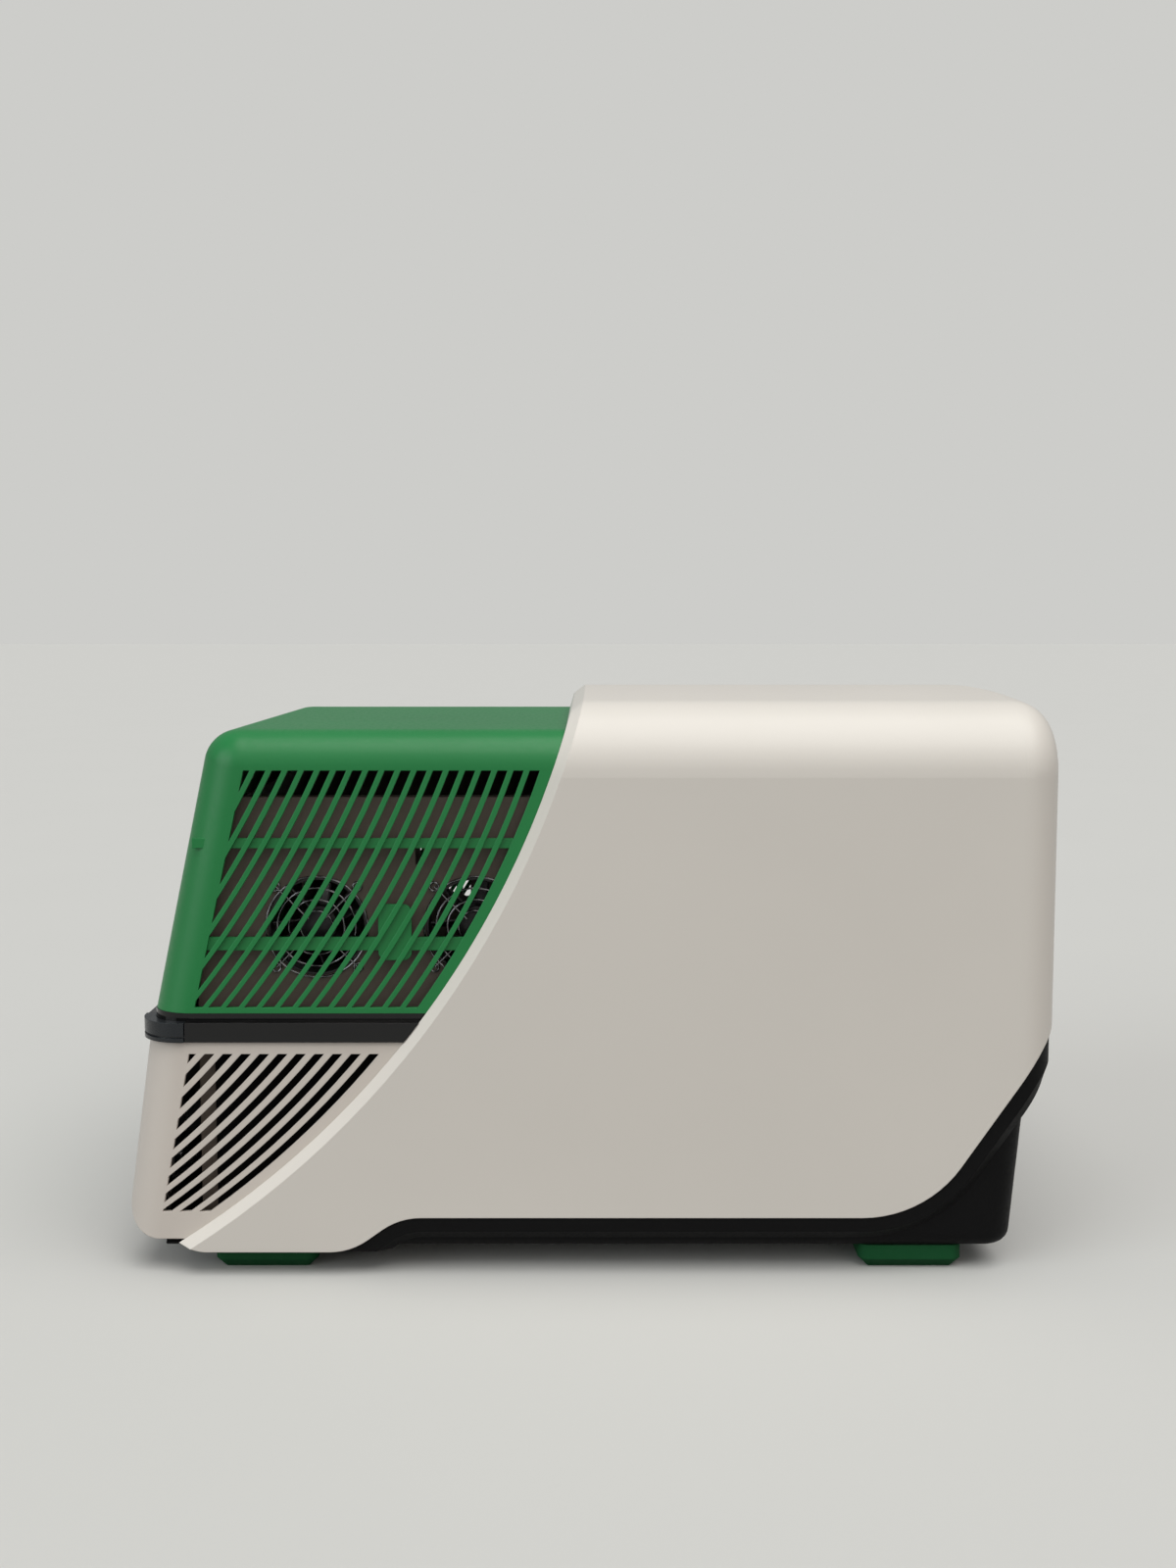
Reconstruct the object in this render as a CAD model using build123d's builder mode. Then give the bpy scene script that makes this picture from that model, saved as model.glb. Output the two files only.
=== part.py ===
from build123d import *
import os
from math import atan, cos, degrees, radians, sqrt, tan

# Bench thermal cycler: millimetres, +Z up, front faces -Y, feet stand on z = 0

# Overall size
width = 330.0
length = 567.0
height = 352.0
foot_height = 15.0

half_width = width / 2
front_y = -length / 2
rear_y = length / 2
cut_reach = 6.0
seat = 0.2

# White hood that wraps over the sides, the top and the front
hood_wall = 3.2
hood_corner_radius = 44.0
hood_crown = 7.0
hood_front_radius = 24.0
hood_below = 35.0
hood_floor_z = foot_height - hood_below

# Seam: the hood ends at the rear in one big arc seen from the side
seam_radius = 556.5
seam_centre_y = rear_y + 264.0
seam_centre_z = height + 137.0
seam_gap = 0.3
rim_width = 12.0
rim_tuck = 8.0
rim_bevel = 6.0

# Lower edge of the hood: steep nose, level run, step down and a lifted tail
edge_rise = 21.4
edge_z = foot_height + edge_rise
nose_angle = 55.6
nose_y = front_y + 79.6
nose_radius = 72.0
step_y = rear_y - 169.0
step_run = 30.0
step_radius = 40.0
tail_y = rear_y - 49.0
tail_run = 24.0
tail_rise = 6.0
tail_radius = 20.0

# Black base with its collar under the hood's edge
base_wall = 3.0
base_inset = 7.0
base_half = half_width - base_inset
base_toe_back = 24.0
base_face_back = 16.0
base_face_rise = 87.0
base_toe_radius = 9.0
base_corner_radius = 18.0
base_face_slope = (base_toe_back - base_face_back) / base_face_rise
base_rear_back = 25.0
base_lip = 8.0
collar_gap = 0.5
collar_inset = 1.5
collar_band = 8.5
collar_bevel = 5.4
base_floor_z = foot_height + base_wall
base_toe_y = front_y + base_toe_back
base_face_y = front_y + base_face_back
base_face_z = foot_height + base_face_rise
base_rear_y = rear_y - base_rear_back

# Rear covers and the band between them
cover_inset = 7.0
cover_half = half_width - cover_inset
cover_wall = 3.0
cover_corner_radius = 25.0
cover_top_radius = 22.0
upper_top_drop = 20.5
upper_top_z = height - upper_top_drop
upper_base_z = 161.0
upper_rear_back = 18.0
upper_lean = 12.0
lower_base_z = 21.0
lower_top_z = 143.6
lower_lean = 7.9
lower_toe_radius = 22.0
band_top_z = 155.5
band_proud = 2.0
band_depth = 9.0
neck_inset = 6.0
cap_proud = 1.2
cap_run = 28.0
cap_gap = 0.2
cap_groove = 1.4
cap_groove_z = 146.0
wall_clear = 1.0

# Slanted vents: each slat is a copy of the seam, moved to the rear
slat_pitch = 9.6
slat_growth = 0.0085
slat_width = 3.6
slat_offset = 4.0
upper_vent_top = 308.0
upper_vent_bottom = 164.5
upper_vent_rear_top = rear_y - 78.0
upper_vent_rear_bottom = rear_y - 46.0
lower_vent_top = 136.0
lower_vent_bottom = 38.0
lower_vent_rear_top = rear_y - 42.0
lower_vent_rear_bottom = rear_y - 24.0
lower_slat_width = 5.2
rail_depth = 2.5
rail_heights = ((261.0, 267.0), (199.0, 207.0))
pad_width = 20.0
pad_height = 34.0
pad_z = 210.0
pad_y = rear_y - 167.0
rear_vent_z = 236.0
rear_vent_pitch = 12.0
rear_vent_count = 7
rear_vent_length = 150.0
rear_vent_width = 5.0
rear_vent_reach = 60.0

# Feet
foot_length = 63.0
foot_width = 42.0
foot_inset = 12.0
foot_end_gap = 54.0
foot_taper = 6.0
foot_corner = 7.0

# Sheet metal chassis inside
sheet = 1.5
wall_half = 147.0
wall_top_z = 291.0
wall_front_y = rear_y - 300.0
wall_rear_low = rear_y - 46.0
wall_rear_top = rear_y - 62.0
wall_bend_z = 165.0
wall_flange = 14.0
wall_window_low = 36.0
wall_window_high = 140.0
wall_window_front = rear_y - 223.0
wall_window_rear = rear_y - 60.0
wall_slot_width = 5.0
wall_slot_height = 12.0
wall_slot_z = 256.0
wall_slot_y = rear_y - 181.5
pan_half = 148.5
pan_z = base_floor_z + sheet
pan_front_y = front_y + 36.0
pan_rear_y = rear_y - 34.0
bulkhead_y = rear_y - 70.0
bulkhead_window_width = 180.0
bulkhead_window_height = 90.0
bulkhead_window_z = 220.0
supply_width = 120.0
supply_depth = 84.0
supply_height = 45.0
supply_x = -70.0
supply_y = rear_y - 120.0
supply_slot_count = 8
board_width = 220.0
board_depth = 120.0
board_thickness = 1.6
board_y = rear_y - 235.0
board_z = 34.0
standoff_radius = 3.0
chip_size = 22.0
chip_pitch = 35.2
chip_height = 3.0
heatsink_height = 12.0
heatsink_pitch = 7.4
heatsink_fins = 8

# Side fans behind the left vent
fan_size = 60.0
fan_depth = 20.0
fan_bore = 57.0
fan_hub = 12.0
fan_z = 212.0
fan_rear_y = rear_y - 119.0
fan_pitch = 96.0
fan_blades = 7
fan_shaft = 2.0
running_gap = 0.06
guard_wire = 1.6
guard_gap = 1.5
guard_rings = 4
guard_pitch = 7.0
guard_inner = 8.0
fan_strut = 2.5
fan_corner = 4.0
fan_hole_pitch = 50.0
blade_chord = 14.0
blade_sheet = 1.4
blade_angle = 40.0
intake_width = 6.0
intake_pitch = 11.0
intake_count = 13

# Touchscreen in the front
screen_width = 248.0
screen_height = 158.0
screen_z = 241.0
screen_corner = 10.0
bezel_ring = 3.2
bezel_flange = 7.0
bezel_thickness = 3.0
glass_thickness = 2.0
display_width = 220.0
display_height = 138.0
display_depth = 8.0
display_window_depth = 9.0

# Drawer and what rides on it
bay_width = 224.0
bay_bottom_z = 27.0
bay_top_z = 101.0
bay_corner = 5.0
drawer_gap = 0.8
tray_half = 88.0
tray_z = 31.0
tray_wall = 1.5
tray_rear_y = front_y + 223.5
tray_rim_z = 84.0
panel_back = 31.5
block_y = front_y + 95.5
block_width = 127.8
block_depth = 85.5
block_height = 15.4
well_pitch = 9.0
well_radius = 2.9
well_depth = 13.0
well_rows = 8
well_columns = 12
well_sides = 8
peltier_size = 39.0
peltier_height = 3.6
peltier_gap = 2.0
sink_base = 7.0
sink_height = 39.5
sink_fin = 1.6
sink_fins = 17
sink_margin = 4.0
surround_height = 6.0
surround_gap = 1.5
surround_rear_y = block_y + 78.0
tray_window = 40.0

# Drawer slides and lead screw
slide_height = 14.0
slide_thickness = 6.0
rail_thickness = 5.0
slide_gap = 0.3
slide_z = 52.0
frame_half = tray_half + slide_thickness + rail_thickness + slide_gap
frame_sheet = 2.5
screw_x = 76.0
screw_z = 46.0
screw_radius = 4.0
nut_width = 16.0
nut_height = 22.0
nut_y = front_y + 183.5
motor_size = 28.0
motor_length = 32.0
motor_chamfer = 2.5
motor_bore = 6.0
drive_gap = 4.0
frame_tail = 20.0
frame_shoulder = 12.0
frame_foot = 12.0

# Heated lid
lid_gap = 0.5
lid_platen = 10.0
lid_margin = 2.2
carrier_thickness = 6.0
carrier_half = 92.0
post_radius = 4.0
post_x = 84.0
post_spread = 88.0
bridge_rise = 32.5
bridge_thickness = 6.0
lid_screw_radius = 3.0
lid_screw_back = 64.0
bridge_end = 16.0
carrier_end = 8.0
bush_length = 10.0
port_radius = 1.4

# Optics shuttle
shuttle_half = 20.0
shuttle_depth = 88.0
shuttle_height = 28.0
shuttle_clear = 6.0
rod_radius = 4.0
rod_spread = 68.0
bush_radius = 6.0
belt_rise = 24.0
belt_width = 5.0
belt_thickness = 1.2
pulley_radius = 8.0
pulley_shaft = 2.5
belt_offset = 10.0
lens_radius = 5.0
lens_depth = 3.0

# Rear connector bay
io_half = 105.0
io_bottom_z = 50.0
io_top_z = 128.0
io_back = 18.5
io_sleeve = 2.5
io_margin = 6.0
io_corner = 4.0
inlet_width = 27.4
inlet_height = 19.8
inlet_rim = 6.0
inlet_wall = 3.4
inlet_flange = 2.0
inlet_depth = 25.0
inlet_socket = 15.0
inlet_chamfer = 4.0
inlet_shift = 14.0
inlet_drop = 14.0
pin_pitch = 7.0
pin_rise = 4.0
pin_width = 4.0
pin_thickness = 2.0
switch_width = 22.0
switch_height = 14.0
switch_depth = 16.0
switch_pocket = 9.0
switch_rise = 16.0
rocker_tilt = 9.0
rocker_face = 2.4
rocker_depth = 6.0
network_width = 15.6
network_height = 13.4
network_wall = 1.9
network_depth = 15.0
network_shift = 18.0
usb_shift = 58.0
usb_depth = 14.0
usb_shell = 1.6
usb_tongue = 1.8

# Controls on the base front, status light and air slots in the base floor
control_x = 126.0
control_z = 66.0
button_radius = 7.0
button_gap = 0.4
button_travel = 2.0
button_board_size = 26.0
button_post_pitch = 20.0
usb_width = 14.5
usb_height = 7.0
usb_stack = 2 * usb_height + sheet
light_length = 150.0
light_height = 3.6
light_depth = 2.5
light_z = 144.0
vent_pitch = 10.0
vent_count = 15
vent_length = 70.0
vent_width = 3.6
vent_shift = 60.0
base_screw_x = 120.0
base_screw_y = 150.0
screw_shank = 2.0
panel_head = 3.4
base_head = 4.0


def hood_section(inset):
    """Cross-section of the hood, inset from its skin: flat sides, crowned top."""
    side = half_width - inset
    shoulder = height - hood_crown - inset
    floor = hood_floor_z - inset
    with BuildSketch() as section:
        with BuildLine():
            Polyline((side, shoulder), (side, floor), (-side, floor), (-side, shoulder))
            ThreePointArc((-side, shoulder), (0, height - inset), (side, shoulder))
        make_face()
        fillet(section.vertices().group_by(Axis.Y)[-1], hood_corner_radius - inset)
    return section.sketch


def hood_block(inset):
    """Solid that fills the hood's outer form, inset from its skin."""
    with BuildPart() as block:
        with BuildSketch(Plane.XZ.offset(-rear_y - inset)):
            add(hood_section(inset))
        extrude(amount=length)
        front = block.edges().group_by(Axis.Y)[0]
        front = front.filter_by(lambda edge: edge.center().Z > hood_floor_z + cut_reach)
        fillet(front, hood_front_radius - inset)
    return block.part


def side_block(corners, radii, half):
    """Solid as wide as twice half, drawn from the side as rounded (Y, Z) corners."""
    with BuildPart() as block:
        with BuildSketch(Plane.YZ):
            with BuildLine():
                FilletPolyline(*corners, radius=radii, close=True)
            make_face()
        extrude(amount=half, both=True)
    return block.part


def seam_drum(radius):
    """Cylinder across the whole width, on the seam's own axis."""
    with BuildPart() as drum:
        with BuildSketch(Plane.YZ):
            with Locations((seam_centre_y, seam_centre_z)):
                Circle(radius)
        extrude(amount=half_width + cut_reach, both=True)
    return drum.part


def seam_y(z):
    """Y of the seam at height z."""
    return seam_centre_y - sqrt(seam_radius ** 2 - (z - seam_centre_z) ** 2)


def lower_edge(drop):
    """Corners and radii of the hood's lower edge, moved down square to itself by drop."""
    step_angle = degrees(atan(edge_rise / step_run))
    nose_shift = drop * tan(radians(nose_angle / 2))
    step_shift = drop * tan(radians(step_angle / 2))
    level = edge_z - drop
    start_y = front_y - cut_reach
    start_z = level + (nose_y - nose_shift - start_y) * tan(radians(nose_angle))
    corners = [
        (start_y, start_z),
        (nose_y - nose_shift, level),
        (step_y - step_shift, level),
        (step_y + step_run - step_shift, foot_height - drop),
    ]
    return corners, [nose_radius + drop, step_radius - drop, step_radius + drop]


def slot_edge(z, count, pitch_top, offset):
    """Y of a vent line at height z: the seam moved to the rear by whole pitches."""
    pitch = slat_pitch + (pitch_top - z) * slat_growth
    return seam_y(z) + offset + count * pitch


def vent_slots(top, bottom, rear_top, rear_bottom, slat):
    """Sketch of the slanted vent slots inside a window, seen from the side."""
    heights = (bottom, (top + bottom) / 2, top)
    count = int((rear_bottom - seam_y(top)) / slat_pitch) + 1
    with BuildSketch() as slots:
        for number in range(count):
            front = [
                (slot_edge(z, number, upper_vent_top, slat_offset + slat), z) for z in heights
            ]
            back = [(slot_edge(z, number + 1, upper_vent_top, slat_offset), z) for z in heights]
            with BuildLine():
                ThreePointArc(*front)
                Line(front[2], back[2])
                ThreePointArc(*reversed(back))
                Line(back[0], front[0])
            make_face()
        with BuildSketch(mode=Mode.PRIVATE) as window:
            with BuildLine():
                Polyline(
                    (front_y, bottom),
                    (rear_bottom, bottom),
                    (rear_top, top),
                    (front_y, top),
                    close=True,
                )
            make_face()
        add(window.sketch, mode=Mode.INTERSECT)
    return slots.sketch


def cover_block(low_z, high_z, ref_y, ref_z, lean, inset, top_radius):
    """Rear cover form: flat sides and a rear face that leans forward towards the top."""
    slope = tan(radians(lean))
    back = inset / cos(radians(lean))
    start = -cut_reach - inset
    with BuildPart() as block:
        with BuildSketch(Plane.YZ):
            with BuildLine():
                Polyline(
                    (start, low_z),
                    (ref_y - back - (low_z - ref_z) * slope, low_z),
                    (ref_y - back - (high_z - ref_z) * slope, high_z),
                    (start, high_z),
                    close=True,
                )
            make_face()
        extrude(amount=cover_half - inset, both=True)
        rear = block.faces().sort_by(Axis.Y)[-1]
        uprights = rear.edges().filter_by(lambda edge: abs(edge.center().X) > cover_half / 2)
        fillet(uprights, cover_corner_radius - inset)
        if top_radius > 0:
            rim = block.edges().group_by(Axis.Z)[-1]
            rim = rim.filter_by(lambda edge: edge.center().Y > start + seat)
            fillet(rim, top_radius - inset)
    return block.part


def plan_prism(half, front, rear, front_radius, rear_radius, low, high):
    """Upright prism with a rounded rectangular plan."""
    with BuildPart() as prism:
        with BuildSketch(Plane.XY.offset(low)) as plan:
            with Locations((0, (front + rear) / 2)):
                Rectangle(2 * half, rear - front)
            if front_radius > 0:
                fillet(plan.vertices().group_by(Axis.Y)[0], front_radius)
            if rear_radius > 0:
                fillet(plan.vertices().group_by(Axis.Y)[-1], rear_radius)
        extrude(amount=high - low)
    return prism.part


os.makedirs("parts", exist_ok=True)

# White hood
hood_corners, hood_radii = lower_edge(0)
hood_corners = hood_corners + [
    (tail_y, foot_height),
    (tail_y + tail_run, foot_height + tail_rise),
    (tail_y + tail_run, height + cut_reach),
    (front_y - cut_reach, height + cut_reach),
]
hood_radii = [0] + hood_radii + [tail_radius, 0, 0, 0]

# The rim fits round the rear covers, which tuck in under it
rim_half = cover_half + seam_gap
rim_top_z = upper_top_z + seam_gap
with BuildPart() as rim_mouth:
    with BuildSketch(Plane.XZ.offset(-rear_y - cut_reach)) as mouth:
        with Locations((0, (hood_floor_z - cut_reach + rim_top_z) / 2)):
            Rectangle(2 * rim_half, rim_top_z - hood_floor_z + cut_reach)
        fillet(mouth.vertices().group_by(Axis.Y)[-1], cover_top_radius + seam_gap)
    extrude(amount=length - hood_front_radius)

with BuildPart() as hood_hollow:
    add(hood_block(hood_wall))
    add(seam_drum(seam_radius + rim_width), mode=Mode.SUBTRACT)

with BuildPart() as white_hood:
    add(hood_block(0))
    add(seam_drum(seam_radius), mode=Mode.SUBTRACT)
    seam_faces = white_hood.faces().filter_by(
        lambda face: face.geom_type == GeomType.CYLINDER
        and abs(face.radius - seam_radius) < seam_gap
    )
    seam_edges = seam_faces.edges().filter_by(lambda edge: edge.center().Z > foot_height)
    chamfer(seam_edges, rim_bevel)
    add(rim_mouth.part, mode=Mode.SUBTRACT)
    add(hood_hollow.part, mode=Mode.SUBTRACT)
    add(side_block(hood_corners, hood_radii, half_width + cut_reach), mode=Mode.INTERSECT)
    with BuildSketch(Plane.XZ.offset(-front_y - hood_wall - cut_reach)):
        with Locations((0, screen_z)):
            RectangleRounded(screen_width, screen_height, screen_corner)
    extrude(amount=hood_wall + 2 * cut_reach, mode=Mode.SUBTRACT)
white_hood.part.label = "white_hood"
export_step(white_hood.part, "parts/white_hood.step")

# Black base: a tray with a recessed front, and a collar that follows the hood's edge
lip_corners = lower_edge(-base_lip)[0]
lip_nose_y, lip_z = lip_corners[1]
lip_front_z = lip_z + (lip_nose_y - front_y) * tan(radians(nose_angle))
core_corners = [
    (front_y, foot_height),
    (front_y, lip_front_z),
    (lip_nose_y, lip_z),
    (base_rear_y, lip_z),
    (base_rear_y, foot_height),
]
core_radii = [0, 0, nose_radius - base_lip, 0, 0]


def base_form(inset):
    """Base form: rounded front corners, a face that leans out as it rises, a rounded foot."""
    floor = foot_height + inset
    toe = base_toe_y + inset
    face = base_face_y + inset
    radius = base_corner_radius - inset
    with BuildPart() as form:
        for z, front in ((floor, toe), (base_face_z, face)):
            with BuildSketch(Plane.XY.offset(z)) as plan:
                with Locations((0, (front + base_rear_y - inset) / 2)):
                    Rectangle(2 * (base_half - inset), base_rear_y - inset - front)
                fillet(plan.vertices().group_by(Axis.Y)[0], radius)
        loft(ruled=True)
        rim = form.edges().group_by(Axis.Z)[0]
        rim = rim.filter_by(lambda edge: edge.center().Y < base_rear_y - base_wall - seat)
        fillet(rim, base_toe_radius - inset)
        add(
            plan_prism(
                base_half - inset,
                face,
                base_rear_y - inset,
                radius,
                0,
                base_face_z,
                height,
            )
        )
    return form.part


upper_band, upper_radii = lower_edge(collar_gap)
lower_band, lower_radii = lower_edge(collar_gap + collar_band + collar_bevel)
band_end_y = step_y + step_run + step_radius
collar_corners = (
    upper_band
    + [(band_end_y, upper_band[3][1]), (band_end_y, lower_band[3][1])]
    + lower_band[::-1]
)
collar_radii = [0] + upper_radii + [0, 0] + lower_radii[::-1] + [0]

with BuildPart() as collar:
    add(
        plan_prism(
            half_width - collar_inset,
            front_y + collar_inset,
            rear_y,
            hood_front_radius - collar_inset,
            0,
            -foot_height,
            height / 2,
        )
    )
    add(side_block(collar_corners, collar_radii, half_width), mode=Mode.INTERSECT)
    undersides = collar.faces().filter_by(lambda face: face.normal_at().Z < -seat)
    bevel_edges = undersides.edges().filter_by(
        lambda edge: abs(edge.center().X) > base_half / 2
        or edge.center().Y < front_y + collar_inset + seat
    )
    chamfer(bevel_edges, collar_bevel)

relief_half = cover_half - cover_wall - wall_clear
with BuildPart() as wall_relief:
    add(seam_drum(seam_radius + rim_width + wall_clear))
    with BuildSketch(Plane.XY.offset(base_floor_z)):
        Rectangle(2 * relief_half, 2 * length)
    extrude(amount=height, mode=Mode.SUBTRACT)
    with BuildSketch(Plane.XY.offset(base_floor_z)):
        Rectangle(2 * width, 2 * length)
    extrude(amount=-height, mode=Mode.SUBTRACT)

bay_z = (bay_bottom_z + bay_top_z) / 2
bay_height = bay_top_z - bay_bottom_z
bay_plane = Plane.XZ.offset(-base_toe_y - cut_reach)
bay_reach = base_toe_back + 2 * cut_reach
button_y = base_toe_y - (control_z - foot_height) * base_face_slope
lip_face_y = front_y + collar_inset

with BuildPart() as base_core:
    add(base_form(0))
    add(side_block(core_corners, core_radii, half_width), mode=Mode.INTERSECT)

with BuildPart() as base_tray:
    add(collar.part)
    add(base_core.part)
    add(
        plan_prism(
            cover_half - wall_clear,
            step_y + step_run,
            base_rear_y,
            0,
            cover_corner_radius,
            foot_height,
            base_floor_z,
        )
    )
    with BuildSketch(Plane.XY):
        Rectangle(width + cut_reach, length + cut_reach)
    extrude(amount=foot_height, mode=Mode.SUBTRACT)
    with BuildSketch(bay_plane):
        with Locations((0, bay_z)):
            RectangleRounded(bay_width, bay_height, bay_corner)
    extrude(amount=bay_reach, mode=Mode.SUBTRACT)
    with BuildSketch(bay_plane):
        with Locations((-control_x, control_z)):
            Circle(button_radius + button_gap)
        with Locations((control_x, control_z)):
            Rectangle(usb_width + 2 * seat, usb_height + 2 * seat)
    extrude(amount=bay_reach, mode=Mode.SUBTRACT)
    add(base_form(base_wall), mode=Mode.SUBTRACT)
    add(wall_relief.part, mode=Mode.SUBTRACT)
    with BuildSketch(Plane.XZ.offset(-lip_face_y - light_depth)):
        with Locations((0, light_z)):
            SlotOverall(light_length + 2 * seat, light_height + 2 * seat)
    extrude(amount=light_depth + cut_reach, mode=Mode.SUBTRACT)
    with BuildSketch(Plane.XY.offset(foot_height)):
        with Locations((0, block_y + vent_shift)):
            with GridLocations(vent_pitch, 1, vent_count, 1):
                SlotOverall(vent_length, vent_width, rotation=90)
    extrude(amount=base_wall, mode=Mode.SUBTRACT)
    with BuildSketch(Plane.XY.offset(foot_height)):
        with GridLocations(2 * base_screw_x, 2 * base_screw_y, 2, 2):
            Circle(screw_shank + seat)
    extrude(amount=base_wall, mode=Mode.SUBTRACT)
base_tray.part.label = "base_tray"
export_step(base_tray.part, "parts/base_tray.step")

# Upper rear cover in green, with its slanted vents
upper_rear_ref = rear_y - upper_rear_back
with BuildPart() as upper_slots:
    with BuildSketch(Plane.YZ):
        add(
            vent_slots(
                upper_vent_top,
                upper_vent_bottom,
                upper_vent_rear_top,
                upper_vent_rear_bottom,
                slat_width,
            )
        )
    extrude(amount=half_width, both=True)

with BuildPart() as upper_cover:
    add(
        cover_block(
            upper_base_z,
            upper_top_z,
            upper_rear_ref,
            upper_base_z,
            upper_lean,
            0,
            cover_top_radius,
        )
    )
    add(
        cover_block(
            upper_base_z - cut_reach,
            upper_top_z - cover_wall,
            upper_rear_ref,
            upper_base_z,
            upper_lean,
            cover_wall,
            cover_top_radius,
        ),
        mode=Mode.SUBTRACT,
    )
    add(upper_slots.part, mode=Mode.SUBTRACT)
    for side in (-1, 1):
        with BuildSketch(Plane.YZ.offset(side * (cover_half - cover_wall))):
            for rail_low, rail_high in rail_heights:
                with Locations((upper_vent_rear_bottom / 2, (rail_low + rail_high) / 2)):
                    Rectangle(upper_vent_rear_bottom, rail_high - rail_low)
            with Locations((pad_y, pad_z)):
                RectangleRounded(pad_width, pad_height, pad_width / 4)
        extrude(amount=-side * rail_depth)
    add(seam_drum(seam_radius + rim_tuck), mode=Mode.INTERSECT)
    with BuildSketch(Plane.XZ.offset(-upper_rear_ref - cut_reach)):
        with Locations((0, rear_vent_z)):
            with GridLocations(1, rear_vent_pitch, 1, rear_vent_count):
                SlotOverall(rear_vent_length, rear_vent_width)
    extrude(amount=rear_vent_reach, mode=Mode.SUBTRACT)
upper_cover.part.label = "upper_rear_cover"
export_step(upper_cover.part, "parts/upper_rear_cover.step")

# Lower rear cover in white, with a connector bay in its rear face
lower_ref_z = lower_base_z + lower_toe_radius
lower_rear_ref = rear_y - lower_toe_radius + lower_toe_radius / cos(radians(lower_lean))
lower_slope = tan(radians(lower_lean))
lower_toe_corner = lower_rear_ref + lower_toe_radius * lower_slope
lower_top_y = lower_rear_ref - (lower_top_z - lower_ref_z) * lower_slope
io_y = rear_y - io_back
io_z = (io_bottom_z + io_top_z) / 2
io_height = io_top_z - io_bottom_z


def toe_block(inset):
    """Side outline of the lower rear cover with its rounded toe."""
    back = inset / cos(radians(lower_lean))
    top = lower_top_z + cut_reach
    corners = [
        (-length, lower_base_z + inset),
        (lower_toe_corner - back - inset * lower_slope, lower_base_z + inset),
        (lower_rear_ref - back - (top - lower_ref_z) * lower_slope, top),
        (-length, top),
    ]
    return side_block(corners, [0, lower_toe_radius - inset, 0, 0], half_width)


def lower_block(inset, high_z):
    """Form of the lower rear cover, inset from its skin."""
    with BuildPart() as block:
        add(
            cover_block(
                lower_base_z + inset,
                high_z,
                lower_rear_ref,
                lower_ref_z,
                lower_lean,
                inset,
                0,
            )
        )
        add(toe_block(inset), mode=Mode.INTERSECT)
    return block.part


with BuildPart() as io_sleeve_form:
    with BuildSketch(Plane.XZ.offset(-rear_y - cut_reach)):
        with Locations((0, io_z)):
            RectangleRounded(
                2 * (io_half + io_sleeve), io_height + 2 * io_sleeve, io_corner + io_sleeve
            )
    extrude(amount=io_back + cut_reach)
    add(lower_block(0, lower_top_z), mode=Mode.INTERSECT)

with BuildPart() as lower_slots:
    with BuildSketch(Plane.YZ):
        add(
            vent_slots(
                lower_vent_top,
                lower_vent_bottom,
                lower_vent_rear_top,
                lower_vent_rear_bottom,
                lower_slat_width,
            )
        )
    extrude(amount=half_width, both=True)

with BuildPart() as lower_cover:
    add(lower_block(0, lower_top_z))
    add(lower_block(cover_wall, lower_top_z + cut_reach), mode=Mode.SUBTRACT)
    add(lower_slots.part, mode=Mode.SUBTRACT)
    add(io_sleeve_form.part)
    with BuildSketch(Plane.XZ.offset(-rear_y - cut_reach)):
        with Locations((0, io_z)):
            RectangleRounded(2 * io_half, io_height, io_corner)
    extrude(amount=io_back + 2 * cut_reach, mode=Mode.SUBTRACT)
    with BuildSketch(Plane.XY.offset(lower_base_z)):
        with Locations((0, base_rear_y + seat - length / 2)):
            Rectangle(2 * (cover_half - cover_wall), length)
    extrude(amount=cover_wall, mode=Mode.SUBTRACT)
    add(seam_drum(seam_radius + rim_tuck), mode=Mode.INTERSECT)
lower_cover.part.label = "lower_rear_cover"
export_step(lower_cover.part, "parts/lower_rear_cover.step")

# Black band between the rear covers, and the caps on its corners
band_half = cover_half + band_proud
band_rear = lower_top_y + band_proud
cap_front_y = band_rear - cap_run
cap_side_x = band_half - cap_run


def band_ring(outset, low, high, depth):
    """Ring that runs round the rear covers at the height of the band."""
    with BuildPart() as ring:
        add(
            plan_prism(
                band_half + outset,
                -length / 2,
                band_rear + outset,
                0,
                cover_corner_radius + outset,
                low,
                high,
            )
        )
        add(
            plan_prism(
                band_half + outset - depth,
                -length,
                band_rear + outset - depth,
                0,
                cover_corner_radius + outset - depth,
                low,
                high,
            ),
            mode=Mode.SUBTRACT,
        )
    return ring.part


def corner_zone(gap):
    """Two upright blocks that hold the rear corners of the band."""
    size = cap_run + 2 * cut_reach
    with BuildPart() as zone:
        with BuildSketch(Plane.XY.offset(lower_top_z)):
            for side in (-1, 1):
                with Locations(
                    (side * (cap_side_x - gap + size / 2), cap_front_y - gap + size / 2)
                ):
                    Rectangle(size, size)
        extrude(amount=upper_base_z - lower_top_z)
    return zone.part


with BuildPart() as rear_band:
    add(band_ring(0, lower_top_z, band_top_z, band_depth))
    add(corner_zone(cap_gap), mode=Mode.SUBTRACT)
    add(band_ring(-neck_inset, lower_top_z, upper_base_z, band_depth - neck_inset))
    add(seam_drum(seam_radius - seam_gap), mode=Mode.INTERSECT)
rear_band.part.label = "rear_band"
export_step(rear_band.part, "parts/rear_band.step")

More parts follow.
